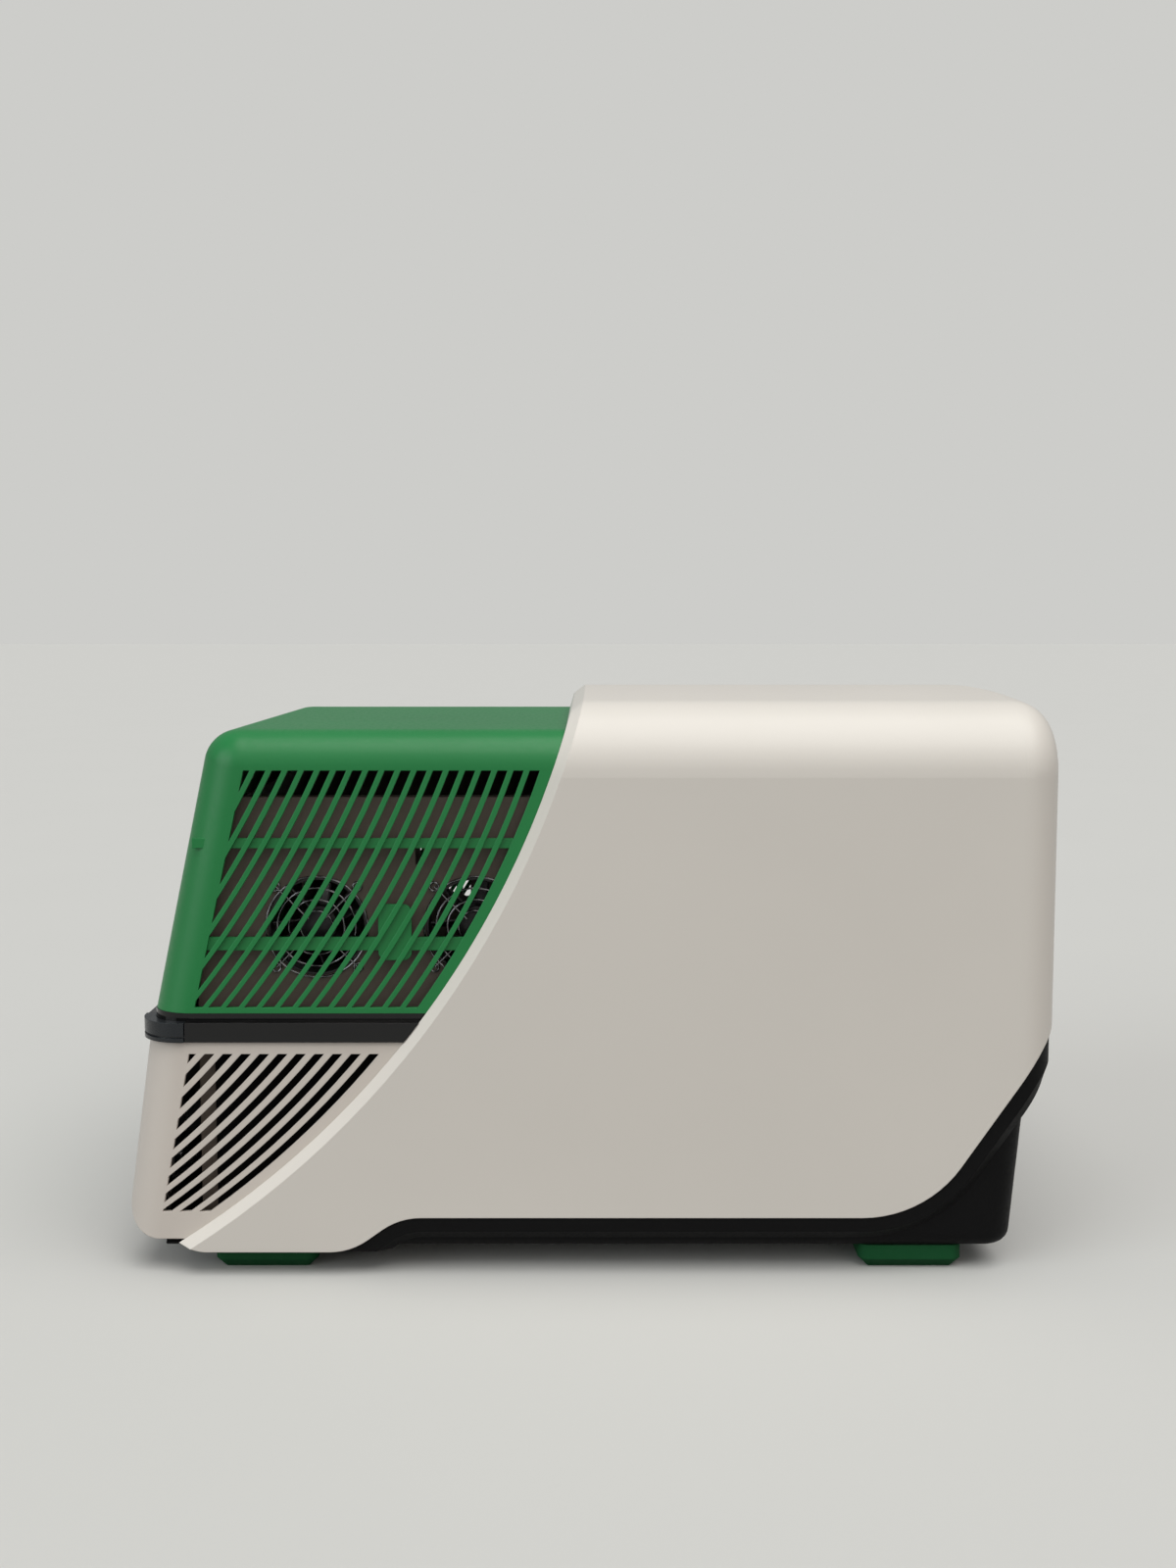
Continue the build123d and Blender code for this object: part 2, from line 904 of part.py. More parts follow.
with BuildPart() as corner_caps:
    add(band_ring(cap_proud, lower_top_z, band_top_z, cap_proud + neck_inset - cap_gap))
    add(corner_zone(0), mode=Mode.INTERSECT)
    add(
        band_ring(cap_proud, cap_groove_z, cap_groove_z + cap_groove, cap_groove),
        mode=Mode.SUBTRACT,
    )
corner_caps.part.label = "corner_caps"
export_step(corner_caps.part, "parts/corner_caps.step")

# Feet
with BuildPart() as feet:
    foot_x = half_width - foot_inset - foot_width / 2
    foot_y = length / 2 - foot_end_gap - foot_length / 2
    with BuildSketch(Plane.XY.offset(foot_height)):
        with GridLocations(2 * foot_x, 2 * foot_y, 2, 2):
            RectangleRounded(foot_width, foot_length, foot_corner)
    extrude(amount=-foot_height)
    chamfer(feet.edges().group_by(Axis.Z)[0], foot_taper)
feet.part.label = "feet"
export_step(feet.part, "parts/feet.step")

# Sheet metal pan on the floor of the base
with BuildPart() as chassis_pan:
    with BuildSketch(Plane.XY.offset(base_floor_z)):
        with Locations((0, (pan_front_y + pan_rear_y) / 2)):
            RectangleRounded(2 * pan_half, pan_rear_y - pan_front_y, base_toe_radius)
        with Locations((0, block_y + vent_shift)):
            with GridLocations(vent_pitch, 1, vent_count, 1):
                SlotOverall(vent_length, vent_width, rotation=90, mode=Mode.SUBTRACT)
        with GridLocations(2 * base_screw_x, 2 * base_screw_y, 2, 2):
            Circle(screw_shank + seat, mode=Mode.SUBTRACT)
    extrude(amount=sheet)
chassis_pan.part.label = "chassis_pan"
export_step(chassis_pan.part, "parts/chassis_pan.step")

# Side walls of sheet metal: round fan holes on the left, intake slots on the right
fan_front_y = fan_rear_y - fan_pitch
for side, name in ((-1, "left_wall"), (1, "right_wall")):
    with BuildPart() as wall:
        with BuildSketch(Plane.YZ.offset(side * wall_half)):
            with BuildLine():
                Polyline(
                    (wall_front_y, pan_z),
                    (wall_rear_low, pan_z),
                    (wall_rear_low, wall_bend_z),
                    (wall_rear_top, wall_top_z),
                    (wall_front_y, wall_top_z),
                    close=True,
                )
            make_face()
            with Locations(
                (
                    (wall_window_front + wall_window_rear) / 2,
                    (wall_window_low + wall_window_high) / 2,
                )
            ):
                Rectangle(
                    wall_window_rear - wall_window_front,
                    wall_window_high - wall_window_low,
                    mode=Mode.SUBTRACT,
                )
            with Locations((wall_slot_y, wall_slot_z)):
                Rectangle(wall_slot_width, wall_slot_height, mode=Mode.SUBTRACT)
            if side < 0:
                with Locations((fan_rear_y, fan_z), (fan_front_y, fan_z)):
                    Circle(fan_bore / 2 + guard_gap, mode=Mode.SUBTRACT)
            else:
                with Locations(((fan_rear_y + fan_front_y) / 2, fan_z)):
                    with GridLocations(intake_pitch, 1, intake_count, 1):
                        SlotOverall(fan_bore, intake_width, rotation=90, mode=Mode.SUBTRACT)
        extrude(amount=-side * sheet)
        flange_y = (wall_front_y + wall_rear_top) / 2
        flange_x = side * (wall_half - wall_flange / 2)
        with BuildSketch(Plane.XY.offset(wall_top_z)):
            with Locations((flange_x, flange_y)):
                Rectangle(wall_flange, wall_rear_top - wall_front_y)
        extrude(amount=-sheet)
        with BuildSketch(Plane.XY.offset(pan_z)):
            with Locations((flange_x, (wall_front_y + wall_rear_low) / 2)):
                Rectangle(wall_flange, wall_rear_low - wall_front_y)
        extrude(amount=sheet)
    wall.part.label = name
    export_step(wall.part, f"parts/{name}.step")

# Cross sheet that ties the two side walls together at the rear
inner_half = wall_half - sheet
with BuildPart() as bulkhead:
    with BuildSketch(Plane.XZ.offset(-bulkhead_y)):
        with Locations((0, (pan_z + sheet + wall_top_z - sheet) / 2)):
            Rectangle(2 * inner_half, wall_top_z - pan_z - 2 * sheet)
        with Locations((0, bulkhead_window_z)):
            Rectangle(bulkhead_window_width, bulkhead_window_height, mode=Mode.SUBTRACT)
        with Locations((0, io_z)):
            Rectangle(2 * io_half, io_height, mode=Mode.SUBTRACT)
    extrude(amount=sheet)
bulkhead.part.label = "rear_bulkhead"
export_step(bulkhead.part, "parts/rear_bulkhead.step")

# Side fans: frames, wire guards and one rotor each
blade_length = fan_bore / 2 - wall_clear - fan_hub + seat
fan_plane = Plane(
    origin=(-inner_half, (fan_rear_y + fan_front_y) / 2, fan_z), x_dir=(0, 1, 0), z_dir=(1, 0, 0)
)
back_plane = fan_plane.offset(fan_depth - fan_strut)

with BuildPart() as fan_frames:
    with BuildSketch(fan_plane):
        with GridLocations(fan_pitch, 1, 2, 1):
            RectangleRounded(fan_size, fan_size, fan_corner)
            Circle(fan_bore / 2, mode=Mode.SUBTRACT)
            with GridLocations(fan_hole_pitch, fan_hole_pitch, 2, 2):
                Circle(screw_shank, mode=Mode.SUBTRACT)
    extrude(amount=fan_depth)
    with BuildSketch(back_plane):
        with GridLocations(fan_pitch, 1, 2, 1):
            Circle(fan_hub)
            with PolarLocations(0, 4, start_angle=45):
                with Locations((fan_bore / 4, 0)):
                    Rectangle(fan_bore / 2 + wall_clear, fan_strut)
            Circle(fan_shaft + running_gap, mode=Mode.SUBTRACT)
    extrude(amount=fan_strut)
fan_frames.part.label = "fan_frames"
export_step(fan_frames.part, "parts/fan_frames.step")

with BuildPart() as fan_guards:
    with BuildSketch(fan_plane.offset(-sheet)):
        with GridLocations(fan_pitch, 1, 2, 1):
            for ring in range(guard_rings):
                radius = fan_bore / 2 + 2 * guard_gap - ring * guard_pitch
                Circle(radius)
                Circle(radius - guard_wire, mode=Mode.SUBTRACT)
            with PolarLocations(0, 4, start_angle=45):
                with Locations((fan_hole_pitch / sqrt(2) / 2 + guard_inner / 2, 0)):
                    Rectangle(fan_hole_pitch / sqrt(2) - guard_inner, guard_wire)
            with GridLocations(fan_hole_pitch, fan_hole_pitch, 2, 2):
                Circle(2 * screw_shank)
    extrude(amount=-guard_wire)
fan_guards.part.label = "fan_guards"
export_step(fan_guards.part, "parts/fan_guards.step")

for fan_name, fan_y in (("rear_fan_rotor", fan_rear_y), ("front_fan_rotor", fan_front_y)):
    rotor_plane = Plane(origin=(-inner_half, fan_y, fan_z), x_dir=(0, 1, 0), z_dir=(1, 0, 0))
    with BuildPart() as fan_rotor:
        with BuildSketch(rotor_plane.offset(fan_strut)):
            Circle(fan_hub)
        extrude(amount=fan_depth - 2 * fan_strut - slide_gap)
        with BuildSketch(rotor_plane.offset(fan_depth - fan_strut - slide_gap)):
            Circle(fan_shaft)
        extrude(amount=fan_strut)
        with Locations(rotor_plane.offset(fan_depth / 2 - slide_gap)):
            with PolarLocations(fan_hub + blade_length / 2 - wall_clear, fan_blades):
                Box(blade_length, blade_chord, blade_sheet, rotation=(blade_angle, 0, 0))
    fan_rotor.part.label = fan_name
    export_step(fan_rotor.part, f"parts/{fan_name}.step")

# Power supply and main board
with BuildPart() as power_supply:
    with BuildSketch(Plane.XY.offset(pan_z)):
        with Locations((supply_x, supply_y)):
            Rectangle(supply_width, supply_depth)
    extrude(amount=supply_height)
    with BuildSketch(Plane.XY.offset(pan_z + supply_height)):
        with Locations((supply_x, supply_y)):
            with GridLocations(supply_width / (supply_slot_count + 1), 1, supply_slot_count, 1):
                SlotOverall(supply_depth / 2, vent_width, rotation=90)
    extrude(amount=-sheet, mode=Mode.SUBTRACT)
power_supply.part.label = "power_supply"
export_step(power_supply.part, "parts/power_supply.step")

with BuildPart() as main_board:
    with BuildSketch(Plane.XY.offset(board_z)):
        with Locations((0, board_y)):
            Rectangle(board_width, board_depth)
    extrude(amount=board_thickness)
    with BuildSketch(Plane.XY.offset(board_z + board_thickness)):
        with Locations((-board_width / 4, board_y)):
            with GridLocations(chip_pitch, chip_pitch, 3, 2):
                Rectangle(chip_size, chip_size)
    extrude(amount=chip_height)
    with BuildSketch(Plane.XY.offset(board_z + board_thickness)):
        with Locations((board_width / 4, board_y)):
            with GridLocations(heatsink_pitch, 1, heatsink_fins, 1):
                Rectangle(sheet, 2 * chip_size)
            Rectangle(heatsink_fins * heatsink_pitch, sheet)
    extrude(amount=heatsink_height)
main_board.part.label = "main_board"
export_step(main_board.part, "parts/main_board.step")

with BuildPart() as standoffs:
    with BuildSketch(Plane.XY.offset(pan_z)):
        with Locations((0, board_y)):
            with GridLocations(
                board_width - 4 * standoff_radius, board_depth - 4 * standoff_radius, 2, 2
            ):
                RegularPolygon(standoff_radius, 6)
    extrude(amount=board_z - pan_z)
standoffs.part.label = "board_standoffs"
export_step(standoffs.part, "parts/board_standoffs.step")

# Connector bay: panel, mains inlet, switch, network and USB sockets
panel_plane = Plane(origin=(0, io_y, io_z), x_dir=(-1, 0, 0), z_dir=(0, 1, 0))
inlet_place = (io_half / 2 + inlet_shift, -inlet_drop)
switch_place = (inlet_place[0], switch_rise)
network_place = (-network_shift, -inlet_drop)
usb_place = (-usb_shift, -inlet_drop)
screw_places = [
    (x * (io_half - 2 * io_margin), y * (io_height / 2 - io_margin))
    for x in (-1, 0, 1)
    for y in (-1, 1)
]

with BuildPart() as io_panel:
    with BuildSketch(panel_plane):
        Rectangle(2 * (io_half + io_margin), io_height + 2 * io_margin)
        with Locations(inlet_place):
            Rectangle(inlet_width + 2 * seat, inlet_height + 2 * seat, mode=Mode.SUBTRACT)
        with Locations(switch_place):
            Rectangle(switch_width + 2 * seat, switch_height + 2 * seat, mode=Mode.SUBTRACT)
        with Locations(network_place):
            Rectangle(network_width + 2 * seat, network_height + 2 * seat, mode=Mode.SUBTRACT)
        with Locations(usb_place):
            Rectangle(usb_width + 2 * seat, usb_stack + 2 * seat, mode=Mode.SUBTRACT)
        with Locations(*screw_places):
            Circle(screw_shank + seat, mode=Mode.SUBTRACT)
    extrude(amount=-sheet)
io_panel.part.label = "io_panel"
export_step(io_panel.part, "parts/io_panel.step")

with BuildPart() as power_inlet:
    with BuildSketch(panel_plane):
        with Locations(inlet_place):
            RectangleRounded(inlet_width + inlet_rim, inlet_height + inlet_rim, inlet_rim / 2)
    extrude(amount=inlet_flange)
    with BuildSketch(panel_plane):
        with Locations(inlet_place):
            Rectangle(inlet_width, inlet_height)
    extrude(amount=-inlet_depth)
    with BuildSketch(panel_plane.offset(inlet_flange)) as inlet_mouth:
        with Locations(inlet_place):
            Rectangle(inlet_width - inlet_wall, inlet_height - inlet_wall)
        chamfer(inlet_mouth.vertices().group_by(Axis.Y)[-1], inlet_chamfer)
    extrude(amount=-inlet_socket, mode=Mode.SUBTRACT)
    with BuildSketch(panel_plane.offset(inlet_flange - inlet_socket)):
        with Locations(inlet_place):
            with Locations((-pin_pitch, -seat), (0, pin_rise), (pin_pitch, -seat)):
                Rectangle(pin_thickness, pin_width)
    extrude(amount=inlet_socket - inlet_flange)
power_inlet.part.label = "power_inlet"
export_step(power_inlet.part, "parts/power_inlet.step")

with BuildPart() as switch_frame:
    with BuildSketch(panel_plane):
        with Locations(switch_place):
            Rectangle(switch_width + inlet_rim, switch_height + inlet_rim)
    extrude(amount=inlet_flange)
    with BuildSketch(panel_plane):
        with Locations(switch_place):
            Rectangle(switch_width, switch_height)
    extrude(amount=-switch_depth)
    with BuildSketch(panel_plane.offset(inlet_flange)):
        with Locations(switch_place):
            Rectangle(switch_width - inlet_rim / 2, switch_height - inlet_rim / 2)
    extrude(amount=-switch_pocket, mode=Mode.SUBTRACT)
switch_frame.part.label = "switch_frame"
export_step(switch_frame.part, "parts/switch_frame.step")

# Rocker: two flat paddles that meet in a shallow V, turned to its off position
rocker_plane = Plane(
    origin=(-switch_place[0], io_y, io_z + switch_place[1]), x_dir=(0, 1, 0), z_dir=(-1, 0, 0)
).rotated((-rocker_tilt, 0, 0))
rocker_half = switch_height / 2 - inlet_rim / 4 - 2 * slide_gap
rocker_rise = rocker_half * tan(radians(rocker_tilt))
with BuildPart() as switch_rocker:
    with BuildSketch(rocker_plane):
        with BuildLine():
            Polyline(
                (rocker_face, 0),
                (rocker_face + rocker_rise, rocker_half),
                (rocker_face - rocker_depth / 2, rocker_half),
                (-rocker_depth / 2, rocker_half / 2),
                (-rocker_depth / 2, -rocker_half / 2),
                (rocker_face - rocker_depth / 2, -rocker_half),
                (rocker_face + rocker_rise, -rocker_half),
                close=True,
            )
        make_face()
    extrude(amount=(switch_width - inlet_rim / 2) / 2 - slide_gap, both=True)
switch_rocker.part.label = "switch_rocker"
export_step(switch_rocker.part, "parts/switch_rocker.step")

with BuildPart() as network_socket:
    with BuildSketch(panel_plane.offset(seat)):
        with Locations(network_place):
            Rectangle(network_width, network_height)
    extrude(amount=-network_depth)
    with BuildSketch(panel_plane.offset(seat)):
        with Locations(network_place):
            Rectangle(network_width - 2 * network_wall, network_height - 2 * network_wall)
            with Locations((0, -network_height / 2 + network_wall / 2)):
                Rectangle(network_width / 3, network_wall)
    extrude(amount=wall_clear - network_depth, mode=Mode.SUBTRACT)
network_socket.part.label = "network_socket"
export_step(network_socket.part, "parts/network_socket.step")


def usb_socket(plane, rows):
    """USB sockets stacked in one shell, on a plane whose normal points outward."""
    stack = rows * usb_height + (rows - 1) * sheet
    with BuildPart() as socket:
        with BuildSketch(plane.offset(seat)):
            Rectangle(usb_width, stack)
        extrude(amount=-usb_depth)
        with BuildSketch(plane.offset(seat)):
            with GridLocations(1, usb_height + sheet, 1, rows):
                Rectangle(usb_width - usb_shell, usb_height - usb_shell)
        extrude(amount=wall_clear - usb_depth, mode=Mode.SUBTRACT)
        with BuildSketch(plane.offset(wall_clear - usb_depth)):
            with GridLocations(1, usb_height + sheet, 1, rows):
                with Locations((0, usb_tongue / 2)):
                    Rectangle(usb_width - 2 * usb_shell, usb_tongue)
        extrude(amount=usb_depth - 2 * wall_clear)
    return socket.part


usb_plane = panel_plane.shift_origin(panel_plane.from_local_coords((*usb_place, 0)))
front_usb_plane = Plane(
    origin=(control_x, button_y, control_z), x_dir=(1, 0, 0), z_dir=(0, -1, 0)
)
with BuildPart() as usb_sockets:
    add(usb_socket(usb_plane, 2))
    add(usb_socket(front_usb_plane, 1))
usb_sockets.part.label = "usb_sockets"
export_step(usb_sockets.part, "parts/usb_sockets.step")

with BuildPart() as case_screws:
    for head, reach in ((panel_head, screw_shank), (screw_shank, -2 * sheet)):
        with BuildSketch(panel_plane):
            with Locations(*screw_places):
                Circle(head)
        extrude(amount=reach)
    for head, reach in ((base_head, -screw_shank), (screw_shank, base_wall + sheet)):
        with BuildSketch(Plane.XY.offset(foot_height)):
            with GridLocations(2 * base_screw_x, 2 * base_screw_y, 2, 2):
                Circle(head)
        extrude(amount=reach)
case_screws.part.label = "case_screws"
export_step(case_screws.part, "parts/case_screws.step")

# Touchscreen: bezel behind the hood, glass and display module
inner_face_y = front_y + hood_wall
glass_y = front_y + wall_clear / 2
glass_width = screen_width - 2 * (seat + bezel_ring)
glass_height = screen_height - 2 * (seat + bezel_ring)
front_plane = Plane(origin=(0, 0, screen_z), x_dir=(1, 0, 0), z_dir=(0, -1, 0))

with BuildPart() as screen_bezel:
    with BuildSketch(front_plane.offset(-inner_face_y - seat)):
        RectangleRounded(
            screen_width + 2 * bezel_flange, screen_height + 2 * bezel_flange, screen_corner
        )
    extrude(amount=-bezel_thickness)
    with BuildSketch(front_plane.offset(-inner_face_y - seat)):
        RectangleRounded(screen_width - 2 * seat, screen_height - 2 * seat, screen_corner - seat)
    extrude(amount=hood_wall - seat)
    with BuildSketch(front_plane.offset(-glass_y)):
        RectangleRounded(
            glass_width + 2 * seat, glass_height + 2 * seat, screen_corner - bezel_ring
        )
    extrude(amount=-glass_thickness - seat, mode=Mode.SUBTRACT)
    with BuildSketch(front_plane.offset(-glass_y)):
        RectangleRounded(
            glass_width + 2 * seat, glass_height + 2 * seat, screen_corner - bezel_ring
        )
    extrude(amount=cut_reach, mode=Mode.SUBTRACT)
    with BuildSketch(front_plane.offset(-front_y)):
        Rectangle(display_width + 2 * seat, display_height + 2 * seat)
    extrude(amount=-display_window_depth, mode=Mode.SUBTRACT)
screen_bezel.part.label = "screen_bezel"
export_step(screen_bezel.part, "parts/screen_bezel.step")

with BuildPart() as screen_glass:
    with BuildSketch(front_plane.offset(-glass_y)):
        RectangleRounded(glass_width, glass_height, screen_corner - bezel_ring - seat)
    extrude(amount=-glass_thickness)
screen_glass.part.label = "screen_glass"
export_step(screen_glass.part, "parts/screen_glass.step")

display_y = glass_y + glass_thickness + seat
with BuildPart() as display_module:
    with BuildSketch(front_plane.offset(-display_y)):
        Rectangle(display_width, display_height)
    extrude(amount=-display_depth)
    with BuildSketch(front_plane.offset(-display_y - display_depth)):
        Rectangle(display_width / 2, display_height / 3)
    extrude(amount=-board_thickness)
display_module.part.label = "display_module"
export_step(display_module.part, "parts/display_module.step")

with BuildPart() as status_light:
    with BuildSketch(Plane.XZ.offset(-lip_face_y - light_depth + seat)):
        with Locations((0, light_z)):
            SlotOverall(light_length, light_height)
    extrude(amount=light_depth - seat)
status_light.part.label = "status_light"
export_step(status_light.part, "parts/status_light.step")

# Power button with its retaining flange, and the switch board behind it
button_plane = Plane(
    origin=(-control_x, button_y, control_z), x_dir=(1, 0, 0), z_dir=(0, -1, 0)
)
button_flange = button_radius + 2 * button_gap + wall_clear / 2
button_back_y = base_wall + button_flange * base_face_slope + slide_gap
with BuildPart() as power_button:
    with BuildSketch(button_plane.offset(wall_clear)):
        Circle(button_radius)
    extrude(amount=-wall_clear - button_back_y - sheet)
    fillet(power_button.edges().group_by(Axis.Y)[0], wall_clear / 2)
    with BuildSketch(button_plane.offset(-button_back_y)):
        Circle(button_flange)
    extrude(amount=-sheet)
power_button.part.label = "power_button"
export_step(power_button.part, "parts/power_button.step")

board_back_y = button_back_y + sheet + button_travel + 2 * seat
post_slack = (button_post_pitch / 2 + screw_shank) * base_face_slope + slide_gap
with BuildPart() as button_board:
    with BuildSketch(button_plane.offset(-board_back_y - sheet)):
        Rectangle(button_board_size, button_board_size)
    extrude(amount=-board_thickness)
    with BuildSketch(button_plane.offset(-board_back_y - sheet)):
        Circle(button_radius / 2)
    extrude(amount=sheet)
    with BuildSketch(button_plane.offset(-board_back_y - sheet)):
        with GridLocations(button_post_pitch, button_post_pitch, 2, 2):
            Circle(screw_shank)
    extrude(amount=board_back_y + sheet - base_wall - post_slack)
button_board.part.label = "button_board"
export_step(button_board.part, "parts/button_board.step")

# Drawer: front panel, tray on two slides, and the block assembly it carries
panel_low = bay_bottom_z + drawer_gap
panel_high = bay_top_z - drawer_gap
panel_inner_y = front_y + panel_back


def face_y(z):
    """Y of the sloped base front at height z."""
    return base_toe_y - (z - foot_height) * base_face_slope


with BuildPart() as drawer_front:
    with BuildSketch(Plane.YZ):
        with BuildLine():
            Polyline(
                (face_y(panel_low), panel_low),
                (panel_inner_y, panel_low),
                (panel_inner_y, panel_high),
                (face_y(panel_high), panel_high),
                close=True,
            )
        make_face()
    extrude(amount=bay_width / 2 - drawer_gap, both=True)
    sides = drawer_front.edges().filter_by(Axis.Y)
    fillet(sides, bay_corner - drawer_gap)
    outline = drawer_front.faces().sort_by(Axis.Y)[0].edges()
    chamfer(outline, drawer_gap)
drawer_front.part.label = "drawer_front"
export_step(drawer_front.part, "parts/drawer_front.step")

with BuildPart() as drawer_tray:
    with BuildSketch(Plane.XY.offset(tray_z)):
        with Locations((0, (panel_inner_y + tray_rear_y) / 2)):
            Rectangle(2 * tray_half, tray_rear_y - panel_inner_y)
        with Locations((0, tray_rear_y - tray_window)):
            RectangleRounded(tray_window * 2, tray_window, bay_corner, mode=Mode.SUBTRACT)
    extrude(amount=tray_wall)
    with BuildSketch(Plane.XZ.offset(-panel_inner_y)):
        with Locations((0, (tray_z + tray_rim_z) / 2)):
            Rectangle(2 * tray_half, tray_rim_z - tray_z)
    extrude(amount=-tray_wall)
    for side in (-1, 1):
        with BuildSketch(Plane.YZ.offset(side * tray_half)):
            with BuildLine():
                Polyline(
                    (panel_inner_y, tray_z),
                    (tray_rear_y, tray_z),
                    (tray_rear_y, slide_z + slide_height / 2),
                    (surround_rear_y, tray_rim_z),
                    (panel_inner_y, tray_rim_z),
                    close=True,
                )
            make_face()
        extrude(amount=-side * tray_wall)
drawer_tray.part.label = "drawer_tray"
export_step(drawer_tray.part, "parts/drawer_tray.step")

sink_z = tray_z + tray_wall
peltier_z = sink_z + sink_height
block_z = peltier_z + peltier_height
block_top_z = block_z + block_height
fin_pitch = (block_width - sink_fin) / (sink_fins - 1)

with BuildPart() as heat_sink:
    with BuildSketch(Plane.XY.offset(peltier_z)):
        with Locations((0, block_y)):
            Rectangle(block_width, block_depth + 2 * sink_margin)
    extrude(amount=-sink_base)
    with BuildSketch(Plane.XY.offset(sink_z)):
        with Locations((0, block_y)):
            with GridLocations(fin_pitch, 1, sink_fins, 1):
                Rectangle(sink_fin, block_depth + 2 * sink_margin)
    extrude(amount=sink_height - sink_base)
heat_sink.part.label = "heat_sink"
export_step(heat_sink.part, "parts/heat_sink.step")

with BuildPart() as peltier_modules:
    with BuildSketch(Plane.XY.offset(peltier_z)):
        with Locations((0, block_y)):
            with GridLocations(peltier_size + peltier_gap, peltier_size + peltier_gap, 3, 2):
                Rectangle(peltier_size, peltier_size)
    extrude(amount=peltier_height)
peltier_modules.part.label = "peltier_modules"
export_step(peltier_modules.part, "parts/peltier_modules.step")

with BuildPart() as sample_block:
    with BuildSketch(Plane.XY.offset(block_z)):
        with Locations((0, block_y)):
            Rectangle(block_width, block_depth)
    extrude(amount=block_height)
    with BuildSketch(Plane.XY.offset(block_top_z)):
        with Locations((0, block_y)):
            with GridLocations(well_pitch, well_pitch, well_columns, well_rows):
                RegularPolygon(well_radius, well_sides)
    extrude(amount=-well_depth, mode=Mode.SUBTRACT)
sample_block.part.label = "sample_block"
export_step(sample_block.part, "parts/sample_block.step")

with BuildPart() as block_surround:
    with BuildSketch(Plane.XY.offset(tray_rim_z)):
        with Locations((0, (panel_inner_y + surround_rear_y) / 2)):
            Rectangle(2 * tray_half, surround_rear_y - panel_inner_y)
        with Locations((0, block_y)):
            Rectangle(
                block_width + 2 * surround_gap, block_depth + 2 * surround_gap, mode=Mode.SUBTRACT
            )
    extrude(amount=surround_height)
    rim = block_surround.edges().group_by(Axis.Z)[-1]
    sides = rim.filter_by(lambda edge: abs(edge.center().X) > block_width / 2 + bay_corner)
    chamfer(sides, wall_clear)
block_surround.part.label = "block_surround"
export_step(block_surround.part, "parts/block_surround.step")

# Slides: a tongue on each side of the tray runs in a grooved rail on the frame
tongue_depth = slide_thickness + rail_thickness / 2
with BuildPart() as slide_tongues:
    for side in (-1, 1):
        with BuildSketch(Plane.YZ.offset(side * tray_half)):
            with Locations(((panel_inner_y + tray_rear_y) / 2, slide_z)):
                Rectangle(tray_rear_y - panel_inner_y, slide_height)
        extrude(amount=side * tongue_depth)
slide_tongues.part.label = "slide_tongues"
export_step(slide_tongues.part, "parts/slide_tongues.step")

frame_front_y = panel_inner_y + slide_gap
frame_low_rear_y = tray_rear_y + frame_tail
with BuildPart() as slide_rails:
    for side in (-1, 1):
        with BuildSketch(Plane.YZ.offset(side * frame_half)):
            with Locations(((frame_front_y + frame_low_rear_y) / 2, slide_z)):
                Rectangle(frame_low_rear_y - frame_front_y, slide_height + rail_thickness)
        extrude(amount=-side * rail_thickness)
        with BuildSketch(Plane.YZ.offset(side * (tray_half + tongue_depth + slide_gap))):
            with Locations(((frame_front_y + frame_low_rear_y) / 2, slide_z)):
                Rectangle(2 * length, slide_height + 2 * slide_gap)
        extrude(amount=-side * tongue_depth, mode=Mode.SUBTRACT)
slide_rails.part.label = "slide_rails"
export_step(slide_rails.part, "parts/slide_rails.step")

# Inner frame: two side plates and the bridge over the block
carrier_z = block_top_z + lid_gap + lid_platen
bridge_z = carrier_z + carrier_thickness + bridge_rise
bridge_top_z = bridge_z + bridge_thickness
shuttle_z = bridge_top_z + shuttle_clear
rod_z = shuttle_z + shuttle_height / 2
belt_z = rod_z + belt_rise
frame_top_z = belt_z + motor_size / 2 + sheet
lid_screw_y = block_y + lid_screw_back
bridge_front_y = block_y - post_spread / 2 - bridge_end
bridge_rear_y = lid_screw_y + bridge_end

with BuildPart() as frame_plates:
    for side in (-1, 1):
        with BuildSketch(Plane.YZ.offset(side * frame_half)):
            with BuildLine():
                FilletPolyline(
                    (frame_front_y, pan_z),
                    (frame_low_rear_y, pan_z),
                    (frame_low_rear_y, slide_z + frame_shoulder),
                    (bridge_rear_y, slide_z + frame_shoulder),
                    (bridge_rear_y, frame_top_z),
                    (bridge_front_y, frame_top_z),
                    (bridge_front_y, slide_z + frame_shoulder),
                    (frame_front_y, slide_z + frame_shoulder),
                    radius=[0, 0, bay_corner, bay_corner, bay_corner, bay_corner, 0, 0],
                    close=True,
                )
            make_face()
        extrude(amount=side * frame_sheet)
        foot_x_place = side * (frame_half + frame_sheet + frame_foot / 2)
        with BuildSketch(Plane.XY.offset(pan_z)):
            with Locations((foot_x_place, (frame_front_y + frame_low_rear_y) / 2)):
                Rectangle(frame_foot, frame_low_rear_y - frame_front_y)
        extrude(amount=frame_sheet)
frame_plates.part.label = "frame_plates"
export_step(frame_plates.part, "parts/frame_plates.step")

with BuildPart() as lid_bridge:
    with BuildSketch(Plane.XY.offset(bridge_z)):
        with Locations((0, (bridge_front_y + bridge_rear_y) / 2)):
            Rectangle(2 * frame_half, bridge_rear_y - bridge_front_y)
        with Locations((0, block_y)):
            RectangleRounded(
                block_width - 2 * surround_gap,
                block_depth - 2 * surround_gap,
                bay_corner,
                mode=Mode.SUBTRACT,
            )
        with Locations((0, lid_screw_y)):
            Circle(lid_screw_radius + running_gap, mode=Mode.SUBTRACT)
    extrude(amount=bridge_thickness)
lid_bridge.part.label = "lid_bridge"
export_step(lid_bridge.part, "parts/lid_bridge.step")

